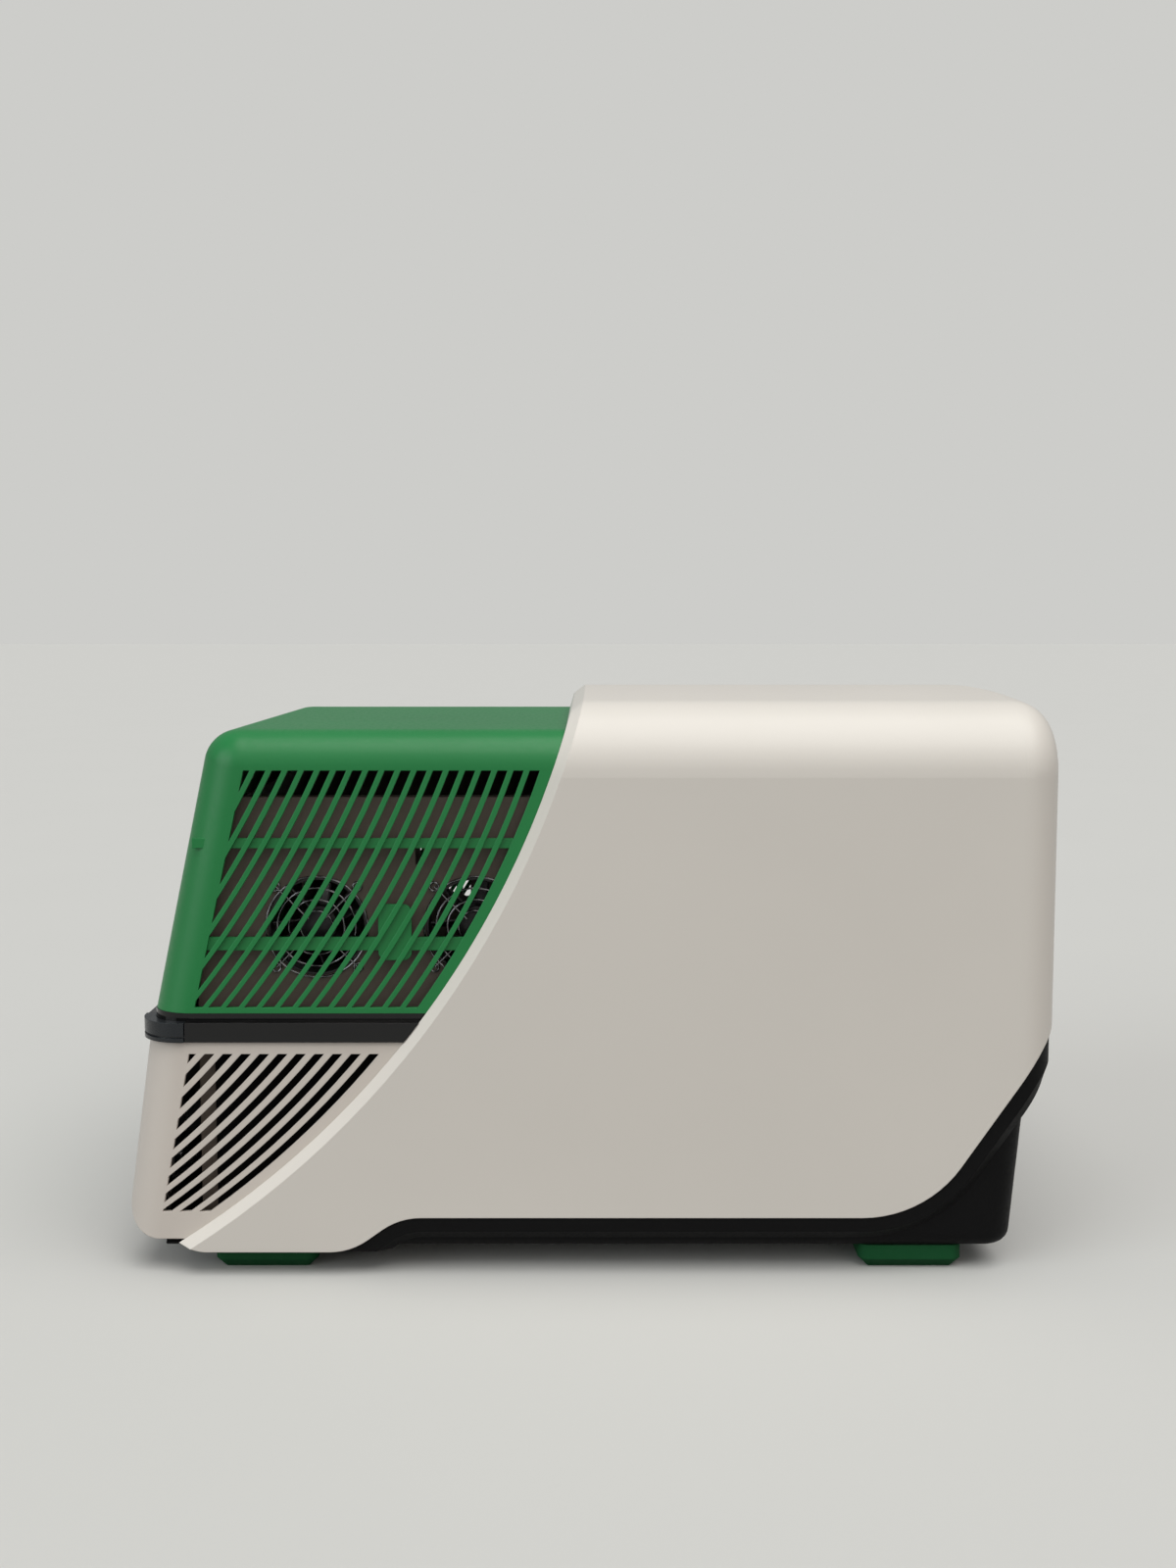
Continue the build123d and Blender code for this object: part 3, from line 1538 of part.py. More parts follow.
with BuildPart() as lid_posts:
    with BuildSketch(Plane.XY.offset(bridge_z)):
        with Locations((0, block_y)):
            with GridLocations(2 * post_x, post_spread, 2, 2):
                Circle(post_radius)
    extrude(amount=carrier_z - sheet - bridge_z)
lid_posts.part.label = "lid_posts"
export_step(lid_posts.part, "parts/lid_posts.step")


def stepper(face, shaft_radius):
    """Square motor behind a plane, with a pilot boss and a hole for its shaft."""
    with BuildPart() as motor:
        with BuildSketch(face):
            Rectangle(motor_size, motor_size)
        extrude(amount=-motor_length)
        corners = motor.edges().filter_by(lambda edge: abs(edge.length - motor_length) < seat)
        chamfer(corners, motor_chamfer)
        with BuildSketch(face):
            Circle(shaft_radius + running_gap)
        extrude(amount=-motor_bore, mode=Mode.SUBTRACT)
    return motor.part


lid_motor_face = Plane(origin=(0, lid_screw_y, bridge_top_z), x_dir=(1, 0, 0), z_dir=(0, 0, -1))
with BuildPart() as lid_motor:
    add(stepper(lid_motor_face, lid_screw_radius))
lid_motor.part.label = "lid_motor"
export_step(lid_motor.part, "parts/lid_motor.step")

with BuildPart() as lid_screw:
    with BuildSketch(Plane.XY.offset(carrier_z - sheet)):
        with Locations((0, lid_screw_y)):
            Circle(lid_screw_radius)
    extrude(amount=bridge_top_z + motor_bore - seat - carrier_z + sheet)
lid_screw.part.label = "lid_screw"
export_step(lid_screw.part, "parts/lid_screw.step")

# Heated lid: a platen under a carrier that rides on the four posts
with BuildPart() as lid_platen_part:
    with BuildSketch(Plane.XY.offset(carrier_z - lid_platen)):
        with Locations((0, block_y)):
            Rectangle(block_width + 2 * lid_margin, block_depth + 2 * lid_margin)
        with Locations((0, block_y)):
            with GridLocations(well_pitch, well_pitch, well_columns, well_rows):
                RegularPolygon(port_radius, 4, mode=Mode.SUBTRACT)
    extrude(amount=lid_platen)
lid_platen_part.part.label = "lid_platen"
export_step(lid_platen_part.part, "parts/lid_platen.step")

carrier_front_y = block_y - post_spread / 2 - carrier_end
carrier_rear_y = lid_screw_y + carrier_end
with BuildPart() as lid_carrier:
    with BuildSketch(Plane.XY.offset(carrier_z)):
        with Locations((0, (carrier_front_y + carrier_rear_y) / 2)):
            RectangleRounded(2 * carrier_half, carrier_rear_y - carrier_front_y, bay_corner)
        with Locations((0, block_y)):
            Rectangle(
                block_width - 2 * surround_gap,
                block_depth - 2 * surround_gap,
                mode=Mode.SUBTRACT,
            )
            with GridLocations(2 * post_x, post_spread, 2, 2):
                Circle(bush_radius, mode=Mode.SUBTRACT)
        with Locations((0, lid_screw_y)):
            Circle(bush_radius, mode=Mode.SUBTRACT)
    extrude(amount=carrier_thickness)
lid_carrier.part.label = "lid_carrier"
export_step(lid_carrier.part, "parts/lid_carrier.step")

with BuildPart() as lid_bushes:
    with BuildSketch(Plane.XY.offset(carrier_z)):
        with Locations((0, block_y)):
            with GridLocations(2 * post_x, post_spread, 2, 2):
                Circle(bush_radius)
                Circle(post_radius + running_gap, mode=Mode.SUBTRACT)
        with Locations((0, lid_screw_y)):
            Circle(bush_radius)
            Circle(lid_screw_radius + running_gap, mode=Mode.SUBTRACT)
    extrude(amount=bush_length)
lid_bushes.part.label = "lid_bushes"
export_step(lid_bushes.part, "parts/lid_bushes.step")

# Drawer drive: a lead screw beside the heat sink and a nut on the tray
screw_rear_y = tray_rear_y + drive_gap
screw_front_y = panel_inner_y + tray_wall + wall_clear
drive_face = Plane(origin=(screw_x, screw_rear_y, screw_z), x_dir=(1, 0, 0), z_dir=(0, -1, 0))
with BuildPart() as drawer_motor:
    add(stepper(drive_face, screw_radius))
drawer_motor.part.label = "drawer_motor"
export_step(drawer_motor.part, "parts/drawer_motor.step")

with BuildPart() as motor_bracket:
    with BuildSketch(Plane.XY.offset(pan_z)):
        with Locations((screw_x, screw_rear_y + motor_length / 2)):
            Rectangle(motor_size, motor_length)
    extrude(amount=screw_z - motor_size / 2 - pan_z)
motor_bracket.part.label = "drawer_motor_block"
export_step(motor_bracket.part, "parts/drawer_motor_block.step")

with BuildPart() as drive_screw:
    with BuildSketch(drive_face.offset(seat - motor_bore)):
        Circle(screw_radius)
    extrude(amount=motor_bore - seat + screw_rear_y - screw_front_y)
drive_screw.part.label = "drawer_screw"
export_step(drive_screw.part, "parts/drawer_screw.step")

with BuildPart() as drawer_nut:
    with BuildSketch(Plane.XY.offset(sink_z)):
        with Locations((screw_x, nut_y)):
            Rectangle(nut_width, nut_width)
    extrude(amount=nut_height)
    with BuildSketch(Plane(origin=(screw_x, nut_y, screw_z), z_dir=(0, -1, 0))):
        Circle(screw_radius + running_gap)
    extrude(amount=nut_width, both=True, mode=Mode.SUBTRACT)
drawer_nut.part.label = "drawer_nut"
export_step(drawer_nut.part, "parts/drawer_nut.step")

# Optics shuttle on two rods over the bridge, pulled by a toothed belt
belt_y = block_y - shuttle_depth / 2 - belt_offset
belt_x = frame_half - motor_size / 2

with BuildPart() as guide_rods:
    with BuildSketch(Plane.YZ.offset(-frame_half)):
        with Locations((block_y - rod_spread / 2, rod_z), (block_y + rod_spread / 2, rod_z)):
            Circle(rod_radius)
    extrude(amount=2 * frame_half)
guide_rods.part.label = "guide_rods"
export_step(guide_rods.part, "parts/guide_rods.step")

clamp_y = block_y - shuttle_depth / 2
run_z = belt_z - pulley_radius - seat - belt_thickness / 2
with BuildPart() as shuttle_carriage:
    with BuildSketch(Plane.XY.offset(shuttle_z)):
        with Locations((0, block_y)):
            RectangleRounded(2 * shuttle_half, shuttle_depth, bay_corner)
    extrude(amount=shuttle_height)
    with BuildSketch(Plane.XZ.offset(-clamp_y - bay_corner)):
        with Locations((0, run_z - bay_corner)):
            Rectangle(shuttle_half, 3 * bay_corner)
    extrude(amount=bay_corner + 2 * belt_offset)
    with BuildSketch(Plane.XZ.offset(-belt_y - belt_width)):
        with Locations((0, run_z)):
            Rectangle(4 * shuttle_half, belt_thickness + 2 * slide_gap)
    extrude(amount=belt_width * 2, mode=Mode.SUBTRACT)
    with BuildSketch(Plane.YZ.offset(-shuttle_half)):
        with Locations((block_y - rod_spread / 2, rod_z), (block_y + rod_spread / 2, rod_z)):
            Circle(bush_radius)
    extrude(amount=2 * shuttle_half, mode=Mode.SUBTRACT)
    with BuildSketch(Plane.XY.offset(shuttle_z)):
        with Locations((-well_pitch, block_y), (well_pitch, block_y)):
            Circle(lens_radius)
    extrude(amount=lens_depth, mode=Mode.SUBTRACT)
shuttle_carriage.part.label = "shuttle_carriage"
export_step(shuttle_carriage.part, "parts/shuttle_carriage.step")

with BuildPart() as shuttle_bushes:
    with BuildSketch(Plane.YZ.offset(-shuttle_half)):
        with Locations((block_y - rod_spread / 2, rod_z), (block_y + rod_spread / 2, rod_z)):
            Circle(bush_radius)
            Circle(rod_radius + running_gap, mode=Mode.SUBTRACT)
    extrude(amount=2 * shuttle_half)
shuttle_bushes.part.label = "shuttle_bushes"
export_step(shuttle_bushes.part, "parts/shuttle_bushes.step")

with BuildPart() as shuttle_lenses:
    with BuildSketch(Plane.XY.offset(shuttle_z - wall_clear)):
        with Locations((-well_pitch, block_y), (well_pitch, block_y)):
            Circle(lens_radius)
    extrude(amount=lens_depth + wall_clear)
shuttle_lenses.part.label = "shuttle_lenses"
export_step(shuttle_lenses.part, "parts/shuttle_lenses.step")

shuttle_face = Plane(
    origin=(-belt_x, belt_y + belt_width / 2 + sheet, belt_z), x_dir=(1, 0, 0), z_dir=(0, -1, 0)
)
with BuildPart() as shuttle_motor:
    add(stepper(shuttle_face, pulley_shaft))
shuttle_motor.part.label = "shuttle_motor"
export_step(shuttle_motor.part, "parts/shuttle_motor.step")

with BuildPart() as drive_pulley:
    with BuildSketch(shuttle_face.offset(sheet - seat)):
        Circle(pulley_radius)
    extrude(amount=belt_width + 2 * seat)
    with BuildSketch(shuttle_face.offset(seat - motor_bore)):
        Circle(pulley_shaft)
    extrude(amount=motor_bore + sheet)
drive_pulley.part.label = "drive_pulley"
export_step(drive_pulley.part, "parts/drive_pulley.step")

idler_face = Plane(
    origin=(belt_x, belt_y + belt_width / 2 + sheet, belt_z), x_dir=(1, 0, 0), z_dir=(0, -1, 0)
)
with BuildPart() as idler_bracket:
    with BuildSketch(idler_face):
        Rectangle(motor_size, motor_size / 2)
    extrude(amount=-bay_corner)
    with BuildSketch(idler_face):
        Circle(pulley_shaft)
    extrude(amount=belt_width + 2 * sheet)
idler_bracket.part.label = "idler_bracket"
export_step(idler_bracket.part, "parts/idler_bracket.step")

with BuildPart() as idler_pulley:
    with BuildSketch(idler_face.offset(sheet - seat)):
        Circle(pulley_radius)
        Circle(pulley_shaft + running_gap, mode=Mode.SUBTRACT)
    extrude(amount=belt_width + 2 * seat)
idler_pulley.part.label = "idler_pulley"
export_step(idler_pulley.part, "parts/idler_pulley.step")

belt_reach = pulley_radius + seat
with BuildPart() as shuttle_belt:
    with BuildSketch(Plane(origin=(0, belt_y, belt_z), x_dir=(1, 0, 0), z_dir=(0, -1, 0))):
        SlotCenterToCenter(2 * belt_x, 2 * (belt_reach + belt_thickness))
        SlotCenterToCenter(2 * belt_x, 2 * belt_reach, mode=Mode.SUBTRACT)
    extrude(amount=belt_width / 2, both=True)
shuttle_belt.part.label = "shuttle_belt"
export_step(shuttle_belt.part, "parts/shuttle_belt.step")
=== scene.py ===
"""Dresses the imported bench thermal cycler: finishes, modelled details, stage, lights and camera."""

import logging
from dataclasses import dataclass, field
from enum import Enum
from math import cos, pi, radians, sin
from typing import Iterable, Optional, Union

import bpy
from mathutils import Matrix, Vector


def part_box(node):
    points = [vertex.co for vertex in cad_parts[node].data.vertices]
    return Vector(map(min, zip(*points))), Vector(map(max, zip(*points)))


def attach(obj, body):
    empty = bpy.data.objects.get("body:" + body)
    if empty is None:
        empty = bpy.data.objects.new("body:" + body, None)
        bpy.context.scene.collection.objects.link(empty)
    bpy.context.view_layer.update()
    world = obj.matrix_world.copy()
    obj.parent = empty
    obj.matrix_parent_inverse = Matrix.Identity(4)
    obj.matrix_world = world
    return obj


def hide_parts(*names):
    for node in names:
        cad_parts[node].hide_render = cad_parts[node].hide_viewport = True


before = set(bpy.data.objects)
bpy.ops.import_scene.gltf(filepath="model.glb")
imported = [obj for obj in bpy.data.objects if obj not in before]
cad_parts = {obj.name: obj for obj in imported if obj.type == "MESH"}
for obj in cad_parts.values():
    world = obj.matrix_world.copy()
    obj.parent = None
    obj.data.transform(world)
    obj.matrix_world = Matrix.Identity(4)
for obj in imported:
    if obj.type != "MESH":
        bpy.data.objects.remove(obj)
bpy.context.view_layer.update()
MM = 0.001
log = logging.getLogger("cycler")

Colour = tuple[float, float, float]
Turn = tuple[float, float, float]
Feed = Union[float, bpy.types.NodeSocket]
Tint = Union[Colour, bpy.types.NodeSocket]

LYING_FLAT: Turn = (0.0, 0.0, 0.0)
FACING = 0.82
PARALLEL = 0.999
LEVEL = 0.1 * MM


class BrushAxis(Enum):
    """Direction that brush marks or machining marks run in."""

    NONE = (1.0, 1.0, 1.0)
    X = (0.02, 1.0, 1.0)
    Y = (1.0, 0.02, 1.0)
    Z = (1.0, 1.0, 0.02)


def linear(red: int, green: int, blue: int) -> Colour:
    """Colour as seen on a screen, 0 to 255, as the shader's own linear values.

    Args:
        red: red level.
        green: green level.
        blue: blue level.

    Returns:
        The three linear values.
    """
    levels = (red / 255, green / 255, blue / 255)
    return tuple(v / 12.92 if v <= 0.04045 else ((v + 0.055) / 1.055) ** 2.4 for v in levels)


class Graph:
    """Adds shader nodes to one tree and joins them."""

    def __init__(self, tree: bpy.types.NodeTree) -> None:
        """Keeps the tree that nodes are added to."""
        self.tree = tree
        self.column = 0

    def add(self, kind: str, inputs: Optional[dict] = None, **settings) -> bpy.types.Node:
        """Adds one node.

        Args:
            kind: the node's Blender type.
            inputs: socket name or number to a value, or to a socket that feeds it.
            settings: plain properties of the node.

        Returns:
            The new node.
        """
        node = self.tree.nodes.new(kind)
        node.location = (self.column * 180, 0)
        self.column += 1
        for name, value in settings.items():
            setattr(node, name, value)
        for name, value in (inputs or {}).items():
            if isinstance(value, bpy.types.NodeSocket):
                self.tree.links.new(value, node.inputs[name])
            else:
                node.inputs[name].default_value = value
        return node

    def maths(
        self, operation: str, first: Feed, second: Feed = 0.0, clamp: bool = False
    ) -> bpy.types.NodeSocket:
        """Adds a Math node and returns its output."""
        node = self.add("ShaderNodeMath", {0: first, 1: second}, operation=operation, use_clamp=clamp)
        return node.outputs[0]

    def blend(self, amount: Feed, first: Tint, second: Tint) -> bpy.types.NodeSocket:
        """Adds a colour mix.

        Args:
            amount: share of the second colour.
            first: colour, or the socket that gives it.
            second: colour, or the socket that gives it.

        Returns:
            The mixed colour's socket.
        """
        node = self.add("ShaderNodeMix", data_type="RGBA")
        for index, value in ((0, amount), (6, first), (7, second)):
            if isinstance(value, bpy.types.NodeSocket):
                self.tree.links.new(value, node.inputs[index])
            elif index == 0:
                node.inputs[index].default_value = value
            else:
                node.inputs[index].default_value = (*value, 1.0)
        return node.outputs[2]

    def spread(
        self, value: Feed, low: float, high: float, to_low: float, to_high: float
    ) -> bpy.types.NodeSocket:
        """Adds a clamped Map Range and returns its output."""
        names = {"Value": value, "From Min": low, "From Max": high, "To Min": to_low, "To Max": to_high}
        return self.add("ShaderNodeMapRange", names, clamp=True).outputs[0]


def new_group(name: str, inputs: dict[str, float], outputs: Iterable[str]) -> bpy.types.NodeTree:
    """Makes an empty shader node group with named sockets.

    Args:
        name: the group's name.
        inputs: float inputs and their defaults.
        outputs: names of the float outputs.

    Returns:
        The new group.
    """
    group = bpy.data.node_groups.new(name, "ShaderNodeTree")
    for label, value in inputs.items():
        socket = group.interface.new_socket(label, in_out="INPUT", socket_type="NodeSocketFloat")
        socket.default_value = value
    for label in outputs:
        group.interface.new_socket(label, in_out="OUTPUT", socket_type="NodeSocketFloat")
    return group


class Effects:
    """Shared surface effects, each a node group that is built once."""

    def __init__(self) -> None:
        """Builds every group."""
        self.grain = self._grain()
        self.wear = self._wear()
        self.dust = self._dust()
        self.drift = self._drift()
        self.scratches = self._scratches()
        self.streaks = self._streaks()

    def _open(
        self, name: str, inputs: dict[str, float], outputs: Iterable[str]
    ) -> tuple[bpy.types.NodeTree, Graph, bpy.types.Node, bpy.types.NodeSocket, bpy.types.Node]:
        """Starts a group.

        Args:
            name: the group's name.
            inputs: float inputs and their defaults.
            outputs: names of the float outputs.

        Returns:
            The group, its graph, its input node, the object coordinates and its output node.
        """
        group = new_group(name, inputs, outputs)
        graph = Graph(group)
        entry = graph.add("NodeGroupInput")
        place = graph.add("ShaderNodeTexCoord").outputs["Object"]
        exit_node = graph.add("NodeGroupOutput")
        return group, graph, entry, place, exit_node

    def _grain(self) -> bpy.types.NodeTree:
        """Spark-eroded mould grain: small soft pits of two sizes."""
        group, graph, entry, place, leave = self._open("mould grain", {"Scale": 1200.0}, ["Height"])
        fine = graph.add(
            "ShaderNodeTexNoise", {"Vector": place, "Scale": entry.outputs[0], "Detail": 2.0}
        )
        wide = graph.maths("MULTIPLY", entry.outputs[0], 0.45)
        pits = graph.add(
            "ShaderNodeTexVoronoi", {"Vector": place, "Scale": wide}, feature="SMOOTH_F1"
        )
        height = graph.maths("MULTIPLY", fine.outputs[0], pits.outputs["Distance"])
        group.links.new(graph.maths("MULTIPLY", height, 2.0), leave.inputs[0])
        return group

    def _wear(self) -> bpy.types.NodeTree:
        """Mask along sharp outer edges, broken up so that it isn't an even line."""
        inputs = {"Width": 0.0008, "Breakup": 90.0}
        group, graph, entry, place, leave = self._open("edge wear", inputs, ["Mask"])
        rounded = graph.add("ShaderNodeBevel", {"Radius": entry.outputs[0]}, samples=4)
        plain = graph.add("ShaderNodeNewGeometry").outputs["Normal"]
        across = graph.add(
            "ShaderNodeVectorMath", {0: rounded.outputs[0], 1: plain}, operation="DOT_PRODUCT"
        )
        edge = graph.spread(across.outputs["Value"], 0.985, 0.86, 0.0, 1.0)
        chips = graph.add(
            "ShaderNodeTexNoise", {"Vector": place, "Scale": entry.outputs[1], "Detail": 4.0}
        )
        broken = graph.spread(chips.outputs[0], 0.42, 0.62, 0.15, 1.0)
        group.links.new(graph.maths("MULTIPLY", edge, broken), leave.inputs[0])
        return group

    def _dust(self) -> bpy.types.NodeTree:
        """Mask of fine dust that lies on what faces up."""
        group, graph, entry, place, leave = self._open("settled dust", {"Scale": 35.0}, ["Mask"])
        normal = graph.add("ShaderNodeNewGeometry").outputs["Normal"]
        upward = graph.add("ShaderNodeSeparateXYZ", {0: normal}).outputs[2]
        flat = graph.spread(upward, 0.35, 1.0, 0.0, 1.0)
        cloud = graph.add(
            "ShaderNodeTexNoise",
            {"Vector": place, "Scale": entry.outputs[0], "Detail": 6.0, "Roughness": 0.7},
        )
        patch = graph.spread(cloud.outputs[0], 0.38, 0.68, 0.2, 1.0)
        group.links.new(graph.maths("MULTIPLY", flat, patch), leave.inputs[0])
        return group

    def _drift(self) -> bpy.types.NodeTree:
        """Slow change of tone over a moulding."""
        group, graph, entry, place, leave = self._open("tone drift", {"Scale": 6.0}, ["Mask"])
        cloud = graph.add(
            "ShaderNodeTexNoise",
            {"Vector": place, "Scale": entry.outputs[0], "Detail": 3.0, "Distortion": 0.4},
        )
        group.links.new(graph.spread(cloud.outputs[0], 0.3, 0.7, 0.0, 1.0), leave.inputs[0])
        return group

    def _scratches(self) -> bpy.types.NodeTree:
        """Sparse hairline scratches in two directions."""
        inputs = {"Scale": 30.0, "Width": 0.006}
        group, graph, entry, place, leave = self._open("hairline scratches", inputs, ["Mask"])
        lines = []
        for turn in ((0.3, 0.5, 0.9), (1.1, -0.4, -0.6)):
            turned = graph.add(
                "ShaderNodeMapping",
                {"Vector": place, "Rotation": turn, "Scale": (1.0, 0.12, 0.35)},
            )
            noise = graph.add(
                "ShaderNodeTexNoise",
                {"Vector": turned.outputs[0], "Scale": entry.outputs[0], "Detail": 1.0},
            )
            away = graph.maths("ABSOLUTE", graph.maths("SUBTRACT", noise.outputs[0], 0.5))
            near = graph.maths("LESS_THAN", away, entry.outputs[1])
            sparse = graph.add(
                "ShaderNodeTexNoise", {"Vector": turned.outputs[0], "Scale": 55.0, "Detail": 0.0}
            )
            kept = graph.maths("GREATER_THAN", sparse.outputs[0], 0.6)
            lines.append(graph.maths("MULTIPLY", near, kept))
        group.links.new(graph.maths("MAXIMUM", lines[0], lines[1]), leave.inputs[0])
        return group

    def _streaks(self) -> bpy.types.NodeTree:
        """Fine parallel marks of a brushed or machined metal."""
        inputs = {"Scale": 900.0, "Along X": 1.0, "Along Y": 1.0, "Along Z": 1.0}
        group, graph, entry, place, leave = self._open("brush marks", inputs, ["Height"])
        sizes = graph.add(
            "ShaderNodeCombineXYZ",
            {0: entry.outputs[1], 1: entry.outputs[2], 2: entry.outputs[3]},
        )
        turned = graph.add("ShaderNodeMapping", {"Vector": place, "Scale": sizes.outputs[0]})
        noise = graph.add(
            "ShaderNodeTexNoise",
            {"Vector": turned.outputs[0], "Scale": entry.outputs[0], "Detail": 3.0},
        )
        group.links.new(noise.outputs[0], leave.inputs[0])
        return group


@dataclass(frozen=True)
class Finish:
    """One finish of the instrument, in the words of the people who make it.

    Lengths are in millimetres, and shares go from 0 to 1.
    """

    name: str
    colour: Colour
    roughness: float
    metallic: float = 0.0
    specular: float = 0.5
    coat: float = 0.0
    coat_roughness: float = 0.08
    grain_pitch: float = 0.9
    grain_depth: float = 0.03
    grain_strength: float = 0.25
    soften: float = 0.5
    wear: float = 0.15
    wear_lift: float = 1.35
    drift: float = 0.06
    dust: float = 0.04
    scratch: float = 0.0
    brushed: BrushAxis = BrushAxis.NONE
    transmission: float = 0.0
    glow: float = 0.0

    def shade(self, factor: float) -> Colour:
        """This finish's colour made lighter or darker by a factor."""
        return tuple(min(1.0, level * factor) for level in self.colour)

    def build(self, effects: Effects) -> bpy.types.Material:
        """Makes the material, or finds it if it is made already.

        Args:
            effects: the shared node groups.

        Returns:
            The material.
        """
        made = bpy.data.materials.get(self.name)
        if made is not None:
            return made
        material = bpy.data.materials.new(self.name)
        material.use_nodes = True
        graph = Graph(material.node_tree)
        shader = material.node_tree.nodes["Principled BSDF"]
        join = material.node_tree.links.new

        drift = graph.add("ShaderNodeGroup", node_tree=effects.drift).outputs[0]
        tone = graph.blend(drift, self.shade(1 - self.drift), self.shade(1 + self.drift))
        wear = graph.add("ShaderNodeGroup", node_tree=effects.wear)
        wear.inputs["Width"].default_value = max(self.soften, 0.3) * 1.6 * MM
        worn = graph.maths("MULTIPLY", wear.outputs[0], self.wear)
        tone = graph.blend(worn, tone, self.shade(self.wear_lift))
        dust = graph.add("ShaderNodeGroup", node_tree=effects.dust).outputs[0]
        dusty = graph.maths("MULTIPLY", dust, self.dust)
        tone = graph.blend(dusty, tone, linear(176, 172, 164))

        if self.brushed is BrushAxis.NONE:
            texture = graph.add("ShaderNodeGroup", node_tree=effects.grain)
            texture.inputs["Scale"].default_value = 1.0 / (self.grain_pitch * MM)
        else:
            texture = graph.add("ShaderNodeGroup", node_tree=effects.streaks)
            texture.inputs["Scale"].default_value = 1.0 / (self.grain_pitch * MM)
            for label, value in zip(("Along X", "Along Y", "Along Z"), self.brushed.value):
                texture.inputs[label].default_value = value
        height = texture.outputs[0]

        rough = graph.spread(height, 0.2, 0.8, self.roughness - 0.05, self.roughness + 0.05)
        rough = graph.maths("ADD", rough, graph.maths("MULTIPLY", dusty, 0.4), clamp=True)
        if self.scratch > 0:
            marks = graph.add("ShaderNodeGroup", node_tree=effects.scratches).outputs[0]
            marks = graph.maths("MULTIPLY", marks, self.scratch)
            tone = graph.blend(marks, tone, linear(150, 150, 150))
            rough = graph.maths("ADD", rough, graph.maths("MULTIPLY", marks, 0.5), clamp=True)
        join(tone, shader.inputs["Base Color"])
        join(rough, shader.inputs["Roughness"])

        rounded = graph.add("ShaderNodeBevel", {"Radius": self.soften * MM}, samples=6)
        bump = graph.add(
            "ShaderNodeBump",
            {
                "Strength": self.grain_strength,
                "Distance": self.grain_depth * MM,
                "Height": height,
                "Normal": rounded.outputs[0],
            },
        )
        join(bump.outputs[0], shader.inputs["Normal"])
        shader.inputs["Metallic"].default_value = self.metallic
        shader.inputs["Specular IOR Level"].default_value = self.specular
        shader.inputs["Coat Weight"].default_value = self.coat
        shader.inputs["Coat Roughness"].default_value = self.coat_roughness
        shader.inputs["Transmission Weight"].default_value = self.transmission
        if self.glow > 0:
            join(tone, shader.inputs["Emission Color"])
            shader.inputs["Emission Strength"].default_value = self.glow
        return material


HOOD_WHITE = Finish("hood white", linear(224, 219, 211), 0.4, drift=0.015, wear=0.1, wear_lift=1.06,
                    dust=0.02, grain_pitch=0.8, grain_strength=0.18, soften=0.6)
BASE_BLACK = Finish("base black", linear(8, 8, 9), 0.58, specular=0.12, drift=0.1, wear=0.25,
                    wear_lift=2.6, grain_pitch=0.9, grain_strength=0.35, soften=0.8, dust=0.02)
COVER_GREEN = Finish("cover green", linear(28, 124, 64), 0.4, specular=0.4, drift=0.05, wear=0.5,
                     wear_lift=1.7, grain_pitch=1.1, grain_depth=0.05, grain_strength=0.4, soften=0.6,
                     dust=0.02)
COVER_WHITE = Finish("cover white", linear(214, 206, 197), 0.44, drift=0.02, wear=0.25, wear_lift=1.08,
                     grain_pitch=1.0, grain_depth=0.04, grain_strength=0.3, soften=0.6, dust=0.02)
BAND_BLACK = Finish("band gloss black", linear(7, 7, 8), 0.14, specular=0.32, coat=0.15, drift=0.1,
                    wear=0.7, wear_lift=7.0, grain_strength=0.04, soften=0.5, scratch=0.35, dust=0.03)
CAP_SLATE = Finish("cap slate", linear(20, 25, 30), 0.3, specular=0.35, coat=0.15, drift=0.05, wear=0.5,
                   wear_lift=2.4, grain_strength=0.1, soften=0.5)
FOOT_GREEN = Finish("foot rubber green", linear(18, 78, 42), 0.75, specular=0.2, drift=0.08, wear=0.2,
                    grain_pitch=1.6, grain_depth=0.06, grain_strength=0.5, soften=1.2, dust=0.05)
WALL_TAUPE = Finish("wall sheet taupe", linear(98, 87, 78), 0.55, drift=0.06, wear=0.3, soften=0.4,
                    grain_pitch=1.4, grain_strength=0.35)
FAN_BLACK = Finish("fan black", linear(20, 20, 21), 0.38, drift=0.08, wear=0.3, wear_lift=2.5,
                   grain_strength=0.15, soften=0.4)
GUARD_WIRE = Finish("guard wire", linear(120, 120, 122), 0.16, metallic=1.0, drift=0.03, wear=0.0,
                    grain_strength=0.05, soften=0.3, dust=0.0)
ZINC_SHEET = Finish("zinc sheet", linear(168, 170, 172), 0.38, metallic=1.0, drift=0.12, wear=0.1,
                    grain_pitch=1.2, grain_strength=0.2, soften=0.4, brushed=BrushAxis.X)
SOLDER_MASK = Finish("solder mask", linear(20, 84, 52), 0.3, specular=0.6, coat=0.3, drift=0.1, wear=0.2,
                     grain_pitch=1.5, grain_strength=0.2, soften=0.2)
BRASS = Finish("turned brass", linear(196, 160, 92), 0.28, metallic=1.0, drift=0.06, grain_pitch=0.4,
               grain_strength=0.2, soften=0.3, brushed=BrushAxis.X)
PANEL_STEEL = Finish("panel steel", linear(176, 177, 178), 0.34, metallic=1.0, drift=0.04, grain_pitch=0.8,
                     grain_strength=0.25, soften=0.3, brushed=BrushAxis.X)
INLET_BLACK = Finish("inlet black", linear(24, 24, 25), 0.42, drift=0.06, wear=0.3, wear_lift=2.2,
                     grain_strength=0.2, soften=0.4)
ROCKER_BLACK = Finish("rocker gloss", linear(18, 18, 19), 0.16, specular=0.6, drift=0.05, wear=0.5,
                      wear_lift=3.0, grain_strength=0.04, soften=0.5, scratch=0.15)
